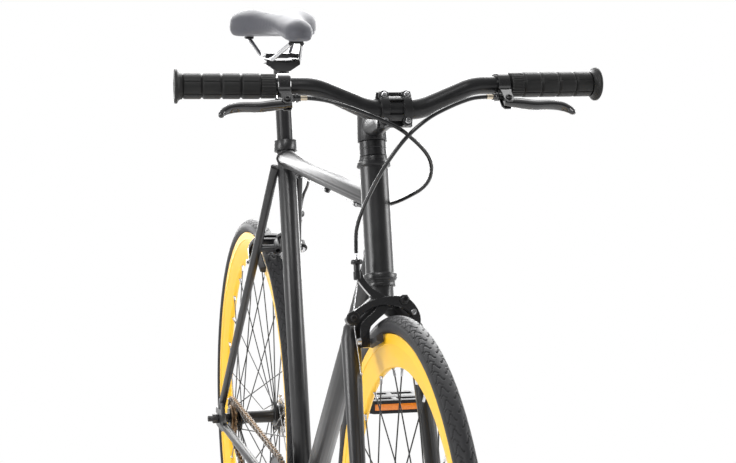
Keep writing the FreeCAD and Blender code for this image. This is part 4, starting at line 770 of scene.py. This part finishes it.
for name, wheel in wheels.items():
    body = name + "_wheel"
    axle, spacing, flange = pick(wheel, "axle spacing flange")
    casing, grooves = makeTyre(axle)
    piece = makePiece(name + "Casing", casing, tyreRubber, body, "tyre_rubber", smooth=70,
                      replaces=name + "_tyre")
    # each point's groove depth, which the tyre finish turns into painted shade
    paintedGrooveShade = piece.data.attributes.new("groove", "FLOAT", "POINT")
    paintedGrooveShade.data.foreach_set("value", grooves.astype(np.float32))
    makePiece(name + "Rim", makeRim(axle), rimYellow, body, "yellow_rim", replaces=name + "_rim")
    makePiece(name + "Valve", lathe(valve, axle - rim["nose"] * zAxis, zAxis, 20), brass, body, "tyre_rubber")
    spokes, nipples = makeSpokes(axle, spacing, flange)
    makePiece(name + "Spokes", spokes, darkSteel, body, "black_alloy", smooth=60)
    makePiece(name + "Nipples", nipples, silverSteel, body, "black_alloy")
    makePiece(name + "Hub", makeHub(**wheel), blackAlloy, body, "black_alloy", replaces=name + "_hub")
print("wheels made")

# Chain: waisted plates in pairs, rollers between them and pins through them
chain = dict(pitch=12.7, links=94, ring=44, cog=16, line=-42.0, plate=1.0, end=4.05, waist=3.0, roller=3.88,
             width=3.2, play=0.05, plateGap=0.1, pin=1.7, pinHalf=4.2)


def chainPlaces():
    # one half runs from the ring's front over the upper run to the cog's rear, and the other half mirrors it
    pitch = chain["pitch"]
    ringRadius, cogRadius = (pitch / (2 * math.sin(math.pi / chain[wheel])) for wheel in ("ring", "cog"))
    distance = np.linalg.norm(rearAxle - bottomBracket)
    slope = math.asin((ringRadius - cogRadius) / distance)
    leave = math.pi / 2 - slope
    half = []
    angle = math.pi
    while angle >= leave:
        half.append((ringRadius * math.cos(angle), ringRadius * math.sin(angle)))
        angle -= 2 * math.pi / chain["ring"]
    start = spot(ringRadius * math.cos(leave), ringRadius * math.sin(leave))
    heading = spot(math.cos(slope), -math.sin(slope))
    back = np.array(half[-1]) - start
    behind = back @ heading
    along = behind + math.sqrt(behind ** 2 - back @ back + pitch ** 2)
    while along <= distance * math.cos(slope):
        half.append(tuple(start + along * heading))
        along += pitch
    reach = math.hypot(half[-1][0] - distance, half[-1][1])
    bearing = math.atan2(half[-1][1], half[-1][0] - distance)
    angle = bearing - math.acos((reach ** 2 + cogRadius ** 2 - pitch ** 2) / (2 * reach * cogRadius))
    while len(half) < chain["links"] // 2:
        half.append((distance + cogRadius * math.cos(angle), cogRadius * math.sin(angle)))
        angle -= 2 * math.pi / chain["cog"]
    half.append((distance + cogRadius, 0.0))
    return np.array(half + [(x, -y) for x, y in half[-2:0:-1]])


def plateOutline():
    # two round ends and a drawn-in waist, along the local X
    pitch, waist = chain["pitch"], chain["waist"]
    turn = np.radians(np.linspace(50, 310, 9))
    rear = np.column_stack([np.cos(turn), np.sin(turn)]) * chain["end"]
    return np.concatenate([rear, [(pitch / 2, -waist)], -rear + (pitch, 0), [(pitch / 2, waist)]])


def makeChain():
    # flat outlines at each place on the chain's line, turned along the link that starts there
    plate, half, pinHalf = chain["plate"], chain["width"] / 2, chain["pinHalf"]
    places = chainPlaces()
    outline = plateOutline()
    circle = np.column_stack([np.cos(fullTurn(12)), np.sin(fullTurn(12))])
    plates, rollers = [], []
    for number, (at, way) in enumerate(zip(places, unit(np.roll(places, -1, 0) - places))):
        turned = at + outline @ np.array([way, (-way[1], way[0])])
        face = half + chain["play"] + (number % 2) * (plate + chain["plateGap"])
        plates += [slab(turned, face, face + plate), slab(turned, -face - plate, -face)]
        rollers += [slab(at + chain["roller"] * circle, -half, half),
                    slab(at + chain["pin"] * circle[::2], -pinHalf, pinHalf)]
    origin = bottomBracket + spot(chain["line"], 0, 0)
    return [place(join(*group), origin, stayHeading, stayUp, xAxis) for group in (plates, rollers)]


chainPlates, chainRollers = makeChain()
makePiece("chainPlates", chainPlates, chainBronze, "frame", "chain_steel", smooth=30, replaces="chain")
makePiece("chainRollers", chainRollers, cogBronze, "frame", "chain_steel", smooth=40)
print("chain made")

# Brakes, in each caliper's own axes: right, up and out from the bolt's seat
caliper = dict(armLow=4.3, armHigh=11.3, archLow=11.6, archHigh=19.6, foot=30.9, footLow=-56.0,
               adjuster=(-36.0, 46.0), anchor=(-48.0, -20.0), capHeight=5.0, pivot=(20.0, 2.0),
               pivotHeight=3.3, screw=(31.5, -14.0), padOut=5.4, padUp=-48.0, sidePad=7.8, archPad=15.6,
               nut=[(-0.4, 5.4), (3.8, 5.4), (4.4, 4.6), (4.4, 3.0), (6.6, 2.9), (7.0, 2.4)],
               padBolt=[(0, 0.01), (0, 5), (1, 5), (1.2, 4), (4.4, 4), (4.8, 3.4), (4.8, 2), (2.4, 1.9),
                        (2.4, 0.01)])
rearUp = unit(spot(0, 248.3 - 486, 790.2 - 358))
brakes = {
    "front": (crown - 27 * steerAxis + 18 * steerFront, xAxis, steerAxis, steerFront),
    "rear": (spot(0, 335.656, 658.36), -xAxis, rearUp, np.cross(rearUp, xAxis)),
}


def sideArm():
    # a flat bar from the adjuster over the middle to the left pad
    foot, low = caliper["foot"], caliper["footLow"]
    stations = [(-36, 40, 9.5), (-31, 28, 8), (-21, 15, 8.5), (-8, 4, 13), (-6, -6, 13), (-18, -18, 11),
                (-28, -27, 12), (-foot, -38, 12), (-foot, low, 11)]
    return slab(ribbon(stations, 44), caliper["armLow"], caliper["armHigh"])


def archArm():
    # a flat bar from the anchor over the tyre to the right pad
    foot, low = caliper["foot"], caliper["footLow"]
    stations = [(-48, -20, 14), (-40, -13, 11), (-26, -4.5, 10), (-8, 0.6, 10.5), (10, 0.4, 14), (22, -3, 15),
                (31, -12, 13), (35, -22, 11), (foot + 1.5, -38, 11), (foot, low, 11)]
    return slab(ribbon(stations, 56), caliper["archLow"], caliper["archHigh"])


def boltHead(x, y, z, radius, height):
    # a domed cap head with a round socket
    profile = [(0, 0.01), (0, radius), (height * 0.6, radius), (height * 0.9, radius * 0.85),
               (height, radius * 0.6), (height, radius * 0.5), (height * 0.35, radius * 0.46),
               (height * 0.35, 0.01)]
    return lathe(profile, spot(x, y, z), zAxis, 24)


def adjusterBarrel():
    # a turned sleeve that stands up from the side arm
    middle = (caliper["armLow"] + caliper["armHigh"]) / 2
    barrel = [(-16, 3.4), (-16, 4.6), (-15, 5.0), (-6, 5.0), (-5, 4.2), (4, 4.2), (4, 7.0), (4.6, 7.4),
              (8.2, 7.4), (9, 6.8), (9, 3.2)]
    return lathe(barrel, spot(*caliper["adjuster"], middle), yAxis, 32, ring=True)


def anchorCap():
    # a turned cap over the arch arm's outer end
    low, high, top = caliper["archLow"], caliper["archHigh"], caliper["archHigh"] + caliper["capHeight"]
    profile = [(low, 0.01), (low, 8.6), (high, 9.0), (top - 1.4, 9.0), (top - 0.3, 8.2), (top, 6.5),
               (top, 0.01)]
    return lathe(profile, spot(*caliper["anchor"], 0), zAxis, 36)


def makeBrake(name, axes, host, boltFinish):
    # every piece is made in the caliper's axes and then placed
    high, foot, padOut, padUp = pick(caliper, "archHigh foot padOut padUp")

    def fit(piece, shape, finish, body, slot="black_alloy", **how):
        makePiece(name + piece, place(shape, *axes), finish, body, slot, **how)
    side, arch = name + "_side", name + "_arch"
    fit("SideArm", sideArm(), glossBlack, side, bevel=2.8, rounds=4, replaces=side + "_arm")
    fit("SideBarrel", adjusterBarrel(), blackAlloy, side)
    fit("ArchArm", archArm(), glossBlack, arch, bevel=3.2, rounds=4, replaces=arch + "_arm")
    fit("Anchor", anchorCap(), blackAlloy, arch, smooth=30)
    fit("AnchorBolt", boltHead(*caliper["anchor"], high + caliper["capHeight"], 4.2, 3.0), boltFinish, arch)
    nut = lathe(caliper["nut"], spot(*caliper["anchor"], caliper["archLow"]), -zAxis, 6)
    fit("AnchorNut", nut, silverSteel, arch)
    fit("CentringScrew", boltHead(*caliper["screw"], high - 0.4, 3.9, 2.6), silverSteel, arch)
    fit("PivotBolt", boltHead(*caliper["pivot"], high + caliper["pivotHeight"], 4.6, 2.4), blackAlloy, host,
        "satin_black")
    for arm, way, level in (("_side", -1, caliper["sidePad"]), ("_arch", 1, caliper["archPad"])):
        head = lathe(caliper["padBolt"], spot(way * (foot + padOut), padUp, level), way * xAxis, 20)
        fit(arm + "PadBolt", head, silverSteel, name + arm)


makeBrake("front", brakes["front"], "steering", darkSteel)
makeBrake("rear", brakes["rear"], "frame", silverSteel)
print("brakes made")

# Saddle: a padded shell, lofted a little small, then swollen as cloth under pressure over its pinned foot
saddle = dict(tail=112.0, front=-164.0, foot=989.5, crest=1031.9, noseCrest=1019.9, wide=70.0, nose=22.0,
              dip=9.0, rows=90, cols=84, tailDepth=20.0, noseDepth=30.0, shrink=1.6, voxel=2.6, pressure=4.0,
              frames=18, cap=3.2, pinHeight=4.0, smoothing=16, seamHeight=7.5, seamHalf=1.5, seamDepth=0.9)


def saddleRows():
    # place behind the post, half width, foot, crest, dip and tuck of the sides
    tail, front, foot, crest, low = pick(saddle, "tail front foot crest noseCrest")
    wide, nose, sink = pick(saddle, "wide nose dip")
    stations = [
        (tail, wide * 0.74, foot + 7, crest - 9, sink * 0.7, 0.9),
        (tail - 22, wide * 0.96, foot + 1, crest - 1, sink, 0.9),
        (tail - 60, wide, foot + 0.5, crest, sink, 0.9),
        (tail - 115, wide * 0.6, foot + 9, crest - 4, sink * 0.75, 0.86),
        (tail - 170, nose * 1.3, foot + 8, low + 5.5, 0.5, 0.84),
        (front + 32, nose * 1.08, foot - 2, low - 1, -4.5, 0.84),
        (front, nose * 0.98, foot - 1, low - 7, -5.5, 0.84),
    ]
    return smoothPath(stations, saddle["rows"])


def saddleShape():
    # each row is a closed smooth line through its corners, and the rows shrink to a point at both ends
    cols, tail, front, tailDepth, noseDepth = pick(saddle, "cols tail front tailDepth noseDepth")
    rows = []
    for behind, half, foot, crest, sink, tuck in saddleRows():
        tall = crest - foot
        right = [(half * tuck * 0.9, foot), (half * (tuck + 0.08), foot + 0.14 * tall),
                 (half, foot + 0.42 * tall), (half * 0.93, foot + 0.76 * tall), (half * 0.6, crest),
                 (half * 0.25, crest - 0.75 * sink)]
        corners = right + [(0, crest - sink)] + [(-x, z) for x, z in right[::-1]] + [(0, foot)]
        ring = np.array(corners[-2:] + corners + corners[:3])
        line = smoothPath(ring, cols * 3)
        corner = np.linspace(0, len(ring) - 1, len(line))
        line = line[(corner >= 2) & (corner < len(ring) - 3)]
        line = line[np.linspace(0, len(line), cols, endpoint=False).astype(int)]
        inward = min((tail - behind) / tailDepth, (behind - front) / noseDepth)
        u = np.clip(1 - inward, 0, 0.999)
        middle = spot(0, foot + 0.45 * tall)
        line = middle + (line - middle) * math.sqrt(1 - u * u) * (1 - saddle["shrink"] / half)
        rows.append(np.column_stack([line[:, 0], np.full(cols, postTop[1] + behind), line[:, 1]]))
    return np.concatenate(rows), tubeFaces(len(rows), cols)


def evaluatedCopy(piece):
    graph = bpy.context.evaluated_depsgraph_get()
    return bpy.data.meshes.new_from_object(piece.evaluated_get(graph))


def ofVertices(mesh, what="co"):
    values = np.empty(len(mesh.vertices) * 3, np.float32)
    mesh.vertices.foreach_get(what, values)
    return values.reshape(-1, 3).astype(float)


def swollen(mesh):
    # voxels, then pressure from inside with the foot pinned, and no point moves further than the cap
    blank = addObject("padBlank", mesh)
    voxels = blank.modifiers.new("voxels", "REMESH")
    voxels.mode = "VOXEL"
    voxels.voxel_size = saddle["voxel"] * metre
    even = evaluatedCopy(blank)
    blank.modifiers.clear()
    blank.data = even
    before = ofVertices(even)
    pinned = blank.vertex_groups.new(name="foot")
    low = (saddle["foot"] + saddle["pinHeight"]) * metre
    pinned.add(np.flatnonzero(before[:, 2] < low).tolist(), 1.0, "REPLACE")
    cloth = blank.modifiers.new("cloth", "CLOTH")
    cloth.settings.use_pressure = True
    cloth.settings.uniform_pressure_force = saddle["pressure"]
    cloth.settings.vertex_group_mass = "foot"
    cloth.settings.effector_weights.gravity = 0
    cloth.point_cache.frame_start, cloth.point_cache.frame_end = 1, saddle["frames"]
    for number in range(1, saddle["frames"] + 1):
        bpy.context.scene.frame_set(number)
    even = evaluatedCopy(blank)
    move = ofVertices(even) - before
    far = np.linalg.norm(move, axis=1)[:, None]
    move *= np.minimum(1, saddle["cap"] * metre / np.maximum(far, 1e-9))
    even.vertices.foreach_set("co", (before + move).ravel())
    bpy.context.scene.frame_set(1)
    bpy.data.objects.remove(blank)
    return even


def smoothed(mesh, rounds):
    # every vertex is drawn towards the mean of its neighbours
    everyWay = dict(use_axis_x=True, use_axis_y=True, use_axis_z=True)
    with reworked(mesh) as work:
        for number in range(rounds):
            bmesh.ops.smooth_vert(work, verts=work.verts, factor=0.5, **everyWay)


def seamed(mesh):
    # a sewn line round the skirt, a little above the foot
    places, normals = ofVertices(mesh), ofVertices(mesh, "normal")
    rows = saddleRows()[::-1]
    foot = np.interp(places[:, 1] / metre - postTop[1], rows[:, 0], rows[:, 2])
    height = places[:, 2] / metre - foot
    upright = np.abs(normals[:, 2]) < 0.9
    sink = saddle["seamDepth"] * dip(height - saddle["seamHeight"], saddle["seamHalf"]) * upright
    mesh.vertices.foreach_set("co", (places - normals * (sink * metre)[:, None]).ravel())


def makeSaddle():
    # the loft, swollen, smoothed and sewn, with every face parted once
    mesh = writeMesh("saddleBlank", saddleShape())
    tidyMesh(mesh)
    even = swollen(mesh)
    even.name = "saddlePad"
    smoothed(even, saddle["smoothing"])
    seamed(even)
    piece = finishPiece("saddlePad", even, saddleVinyl, "seat", "saddle_vinyl", smooth=80, replaces="saddle")
    finer = piece.modifiers.new("finer", "SUBSURF")
    finer.levels = finer.render_levels = 1


makeSaddle()

# Sockets under the saddle take the ends of its rails: one at the nose and one on each side of the tail
sockets = dict(nose=dict(middle=(0.0, 178.5), half=(11.0, 6.5), low=984.5, high=1001.0),
               tail=dict(middle=(37.0, 371.0), half=(7.0, 9.0), low=985.5, high=997.0), square=0.5)


def railSocket(middle, half, low, high):
    # place = middle + half * a circle drawn out towards a square, between two heights
    outline = spot(*middle) + np.column_stack(squaredCircle(40, sockets["square"])) * half
    return slab(outline, low, high)


railSockets = join(railSocket(**sockets["nose"]), bothSides(railSocket(**sockets["tail"])))
makePiece("railSockets", railSockets, pedalPlastic, "seat", "saddle_vinyl", bevel=1.5)
print("saddle made")

# Brake cables: the solid model's route points, straight out of their ends
cable = dict(housing=2.5, wire=0.8, lead=22.0, brakeLead=30.0, exit=spot(121.272, -428.152, 939.494),
             firstStop=spot(0, -221.801, 784.712), lastStop=spot(0, 156.799, 784.696),
             frontEnd=spot(-36, -369.016, 731.664), rearEnd=spot(36, 315.843, 710.574))
frontRoute = [(76, -441, 934), (55, -451, 927), (35, -459, 919), (17, -463, 907), (2, -462, 893),
              (-12, -455, 873), (-23, -442, 850), (-29, -422, 828), (-32, -398, 807), (-35, -374, 783)]
rearRoute = [(-70, -443, 931), (-38, -451, 919), (-5, -451, 905), (18, -444, 888), (37, -432, 871),
             (48, -417, 854), (51, -400, 837), (47, -380, 822), (38, -357, 811), (28, -330, 800),
             (17, -299, 791), (7, -270, 786)]
dropRoute = [(13, 204, 783), (27, 230, 780), (37, 256, 772), (41, 282, 757)]


def splinePoints(name, corners):
    # the points of a smooth spline held by the route's corners
    curve = bpy.data.curves.new(name, "CURVE")
    curve.dimensions = "3D"
    spline = curve.splines.new("NURBS")
    spline.points.add(len(corners) - 1)
    for point, corner in zip(spline.points, corners):
        point.co = (*(np.asarray(corner, float) * metre), 1)
    spline.order_u = 3
    spline.use_endpoint_u = True
    spline.resolution_u = 10
    holder = addObject(name, curve)
    bpy.context.view_layer.update()
    points = ofVertices(evaluatedCopy(holder)) / metre
    bpy.data.objects.remove(holder)
    return points


def makeHousing(name, corners, bodies, replaces=None):
    # a tube along the spline, passed on with the bodies at its two ends and the places of those ends
    path = splinePoints(name + "Line", corners)
    ends = path[0] * metre, path[-1] * metre
    housing = sweep(path, cable["housing"], 16)
    piece = makePiece(name, housing, cablePlastic, (*bodies, *ends), "cable_plastic", smooth=180,
                      replaces=replaces)


lead, brakeLead = cable["lead"], cable["brakeLead"]
exitLeft, firstStop, lastStop, frontEnd, rearEnd = pick(cable, "exit firstStop lastStop frontEnd rearEnd")
exitRight, barOutRight = exitLeft * flipped, barOut * flipped
frontCorners = [exitLeft, exitLeft - lead * barOut, *frontRoute, frontEnd + brakeLead * steerAxis, frontEnd]
aheadCorners = [exitRight, exitRight - lead * barOutRight, *rearRoute, firstStop - lead * yAxis, firstStop]
dropCorners = [lastStop, lastStop + lead * yAxis, *dropRoute, rearEnd + brakeLead * rearUp, rearEnd]
makeHousing("frontHousing", frontCorners, ("steering", "front_side"), "front_brake_cable")
makeHousing("rearHousingAhead", aheadCorners, ("steering", "frame"), "rear_brake_cable")
makeHousing("rearHousingDrop", dropCorners, ("frame", "rear_side"))

# Bare wires: under the top tube, and at each brake from the adjuster past the anchor to a crimped tail
wireEnds = dict(top=(-36, 28.9, 7.8), anchor=(-47, -10.7, 22.1), under=(-47, -29.3, 22.1),
                tail=(-41, -91.3, 22.1), inCrimp=4.0,
                crimp=[(-11, 1.0), (-10.6, 1.5), (-8, 1.5), (-6, 1.25), (-4, 1.5), (-0.6, 1.5), (0, 0.9)])


def rod(start, end):
    # a thin round wire between two places
    return sweep(np.linspace(start, end, 3), cable["wire"], 10)


for name, axes in brakes.items():
    top, anchor, under, tail = (axes[0] + spot(*end) @ np.array(axes[1:])
                                for end in pick(wireEnds, "top anchor under tail"))
    way = unit(tail - under)
    wire = join(rod(top, anchor), rod(under, tail - wireEnds["inCrimp"] * way))
    makePiece(name + "BrakeWire", wire, silverSteel, name + "_arch", "bright_steel")
    crimp = lathe(wireEnds["crimp"], tail, way, 12)
    makePiece(name + "WireCrimp", crimp, silverSteel, name + "_arch", "bright_steel")
makePiece("topTubeWire", rod(firstStop, lastStop), silverSteel, "frame", "bright_steel")

# Ferrules on the ends of the housings
ferrule = [(-1, 2.6), (-0.6, 3.1), (7.4, 3.1), (8, 2.9), (8, 2.55)]
ferrules = [("left", exitLeft, -barOut, brass, "steering"),
            ("right", exitRight, -barOutRight, brass, "steering"),
            ("first", firstStop, -yAxis, silverSteel, "frame"),
            ("last", lastStop, yAxis, silverSteel, "frame"),
            ("front", frontEnd, steerAxis, silverSteel, "front_side"),
            ("rear", rearEnd, rearUp, silverSteel, "rear_side")]
for name, end, way, finish, body in ferrules:
    makePiece(name + "Ferrule", lathe(ferrule, end, way, 20), finish, body, "bright_steel")
print("cables made")

# Bolts: four on the bar clamp in round bosses, one at each lever's pivot and five on the chainring's spider
bolts = dict(across=14.3, up=16.0, boss=6.2, bossLow=1.2, bossHigh=9.8, leverFace=7.0,
             ring=64.0, ringFace=48.0, ringCount=5, crankTurn=90.0)


def clampBolts():
    # a turned boss and a bolt head at each corner of the faceplate
    low, high, boss = pick(bolts, "bossLow bossHigh boss")
    profile = [(low, 0.01), (low, boss), (high - 1.2, boss), (high - 0.3, boss - 0.5), (high, boss - 1.4),
               (high, 0.01)]
    corners = [(x * bolts["across"], y * bolts["up"]) for x in (-1, 1) for y in (-1, 1)]
    bosses = join(*[lathe(profile, spot(x, y, 0), zAxis, 28) for x, y in corners])
    heads = join(*[boltHead(x, y, high, 3.9, 2.6) for x, y in corners])
    return [place(group, barCentre, xAxis, steerAxis, steerFront) for group in (bosses, heads)]


def ringBolts():
    # heads on a circle round the spindle, half a step past the right crank
    ring, face, count = pick(bolts, "ring ringFace ringCount")
    turns = fullTurn(count) + np.pi / count
    heads = join(*[boltHead(ring * math.cos(t), ring * math.sin(t), face, 4.4, 1.6) for t in turns])
    crankTurn = math.radians(bolts["crankTurn"])
    crankWay = spot(0, math.cos(crankTurn), -math.sin(crankTurn))
    return place(heads, bottomBracket, crankWay, np.cross(-xAxis, crankWay), -xAxis)


clampBosses, clampHeads = clampBolts()
makePiece("clampBosses", clampBosses, blackAlloy, "steering", "black_alloy")
makePiece("clampBoltHeads", clampHeads, silverSteel, "steering", "bright_steel")
leverSeat = onLever(*lever["pivot"], -bolts["leverFace"])
leverBolt = place(boltHead(0, 0, 0, 4.2, 2.2), leverSeat, barOut, leverWay, -leverAcross)
makePiece("leverBolts", bothSides(leverBolt), darkSteel, "steering", "bright_steel")
makePiece("ringBolts", ringBolts(), silverSteel, "crankset", "bright_steel")
print("bolts made")

# Studio, in metres: a pale floor, a surround that is brighter behind the bike, and five soft boxes
studio = dict(floor=14.0, floorTone=0.75, clearFrom=0.9, clearTo=1.5, front=0.10, mirrored=0.12,
              glowMiddle=0.5, glowSlope=0.9, glowEase=0.2, sensor=36.0, lens=96.5, farthest=100.0,
              eye=(-0.6142, -2.7606, 1.0844), yaw=0.243, pitch=0.128, roll=0.008)
softBoxes = [dict(eye=(0.3, 1.6, 2.9), aim=(0.0, 0.0, 0.8), size=2.4, power=55.0),
             dict(eye=(-1.0, -2.2, 3.2), aim=(0.0, -0.2, 0.7), size=1.2, power=45.0),
             dict(eye=(-2.4, -0.5, 1.3), aim=(0.0, 0.0, 0.7), size=1.0, power=30.0),
             dict(eye=(2.4, -0.5, 1.3), aim=(0.0, 0.0, 0.7), size=1.0, power=30.0),
             dict(eye=(0.9, 3.6, 1.7), aim=(0.0, 0.0, 0.8), size=4.2, power=340.0)]


def standAt(thing, eye, forward, roll=0.0):
    # a camera or lamp that looks along a direction, level but for its roll
    forward = unit(forward)
    right = unit(np.cross(forward, zAxis))
    up = np.cross(right, forward)
    matrix = np.eye(4)
    matrix[:3, 0] = right * math.cos(roll) + up * math.sin(roll)
    matrix[:3, 1] = up * math.cos(roll) - right * math.sin(roll)
    matrix[:3, 2] = -forward
    matrix[:3, 3] = eye
    thing.matrix_world = Matrix(matrix.tolist())


def raySorts(shading):
    # rays that see the background itself: straight from the camera, and mirrored or through something clear
    camera, glossy, clear = (shading.node("LightPath", output="Is %s Ray" % kind)
                             for kind in ("Camera", "Glossy", "Transmission"))
    return camera, maths("MAXIMUM", glossy, clear)


def makeFloor():
    # a wide square that keeps the shadow near the bike and, further out, is white like the background
    tone = studio["floorTone"]
    finish = Finish("paleFloor", colour=(tone, tone, tone, 1), roughness=1.0, specular=0.0)
    away = finish.node("VectorMath", {"operation": "LENGTH"}, {0: finish.coords}, "Value")
    spread = {"Value": away, "From Min": studio["clearFrom"], "From Max": studio["clearTo"]}
    share = finish.node("MapRange", {"interpolation_type": "SMOOTHSTEP"}, spread)
    share = share * maths("MAXIMUM", *raySorts(finish))
    white = finish.node("Emission", values={"Strength": 1.0})
    near = Link(finish, finish.shader.outputs[0])
    mixed = finish.node("MixShader", values={0: share, 1: near, 2: white})
    finish.feed(finish.tree.nodes["Material Output"].inputs["Surface"], mixed)
    corners = np.array([(-1, -1, 0), (1, -1, 0), (1, 1, 0), (-1, 1, 0)]) * studio["floor"] / metre
    mesh = writeMesh("floor", (corners, [np.arange(4)[None]]))
    mesh.materials.append(finish.material)
    addObject("floor", mesh)


def makeSurround():
    # white for the camera; for other rays bright behind the bike and dim in front of it
    world = bpy.data.worlds.new("surround")
    bpy.context.scene.world = world
    world.use_nodes = True
    shading = Shading(world.node_tree)
    camera, mirrored = raySorts(shading)
    way = shading.node("TexCoord", output="Generated")
    behind = shading.node("SeparateXYZ", values={0: way}, output="Y")
    glow = maths("MAXIMUM", studio["glowMiddle"] + studio["glowSlope"] * behind, 0.0)
    glow = maths("SMOOTH_MIN", glow, 1.0, studio["glowEase"])
    front = studio["front"] + studio["mirrored"] * mirrored
    background = world.node_tree.nodes["Background"]
    background.inputs["Color"].default_value = (1, 1, 1, 1)
    shading.feed(background.inputs["Strength"], maths("MAXIMUM", camera, front + (1 - front) * glow))


makeFloor()
makeSurround()
for number, box in enumerate(softBoxes):
    light = bpy.data.lights.new("softBox%d" % number, "AREA")
    light.shape = "SQUARE"
    light.size = box["size"]
    light.energy = box["power"]
    lamp = addObject(light.name, light)
    lamp.visible_camera = False
    standAt(lamp, box["eye"], spot(*box["aim"]) - spot(*box["eye"]))
lens = bpy.data.cameras.new("camera")
lens.sensor_fit = "HORIZONTAL"
lens.sensor_width = studio["sensor"]
lens.lens = studio["lens"]
lens.clip_end = studio["farthest"]
camera = addObject("camera", lens)
yaw, pitch = studio["yaw"], studio["pitch"]
gaze = spot(math.sin(yaw) * math.cos(pitch), math.cos(yaw) * math.cos(pitch), -math.sin(pitch))
standAt(camera, studio["eye"], gaze, studio["roll"])
bpy.context.scene.camera = camera
bpy.context.scene.view_settings.view_transform = "Standard"
print("studio made")
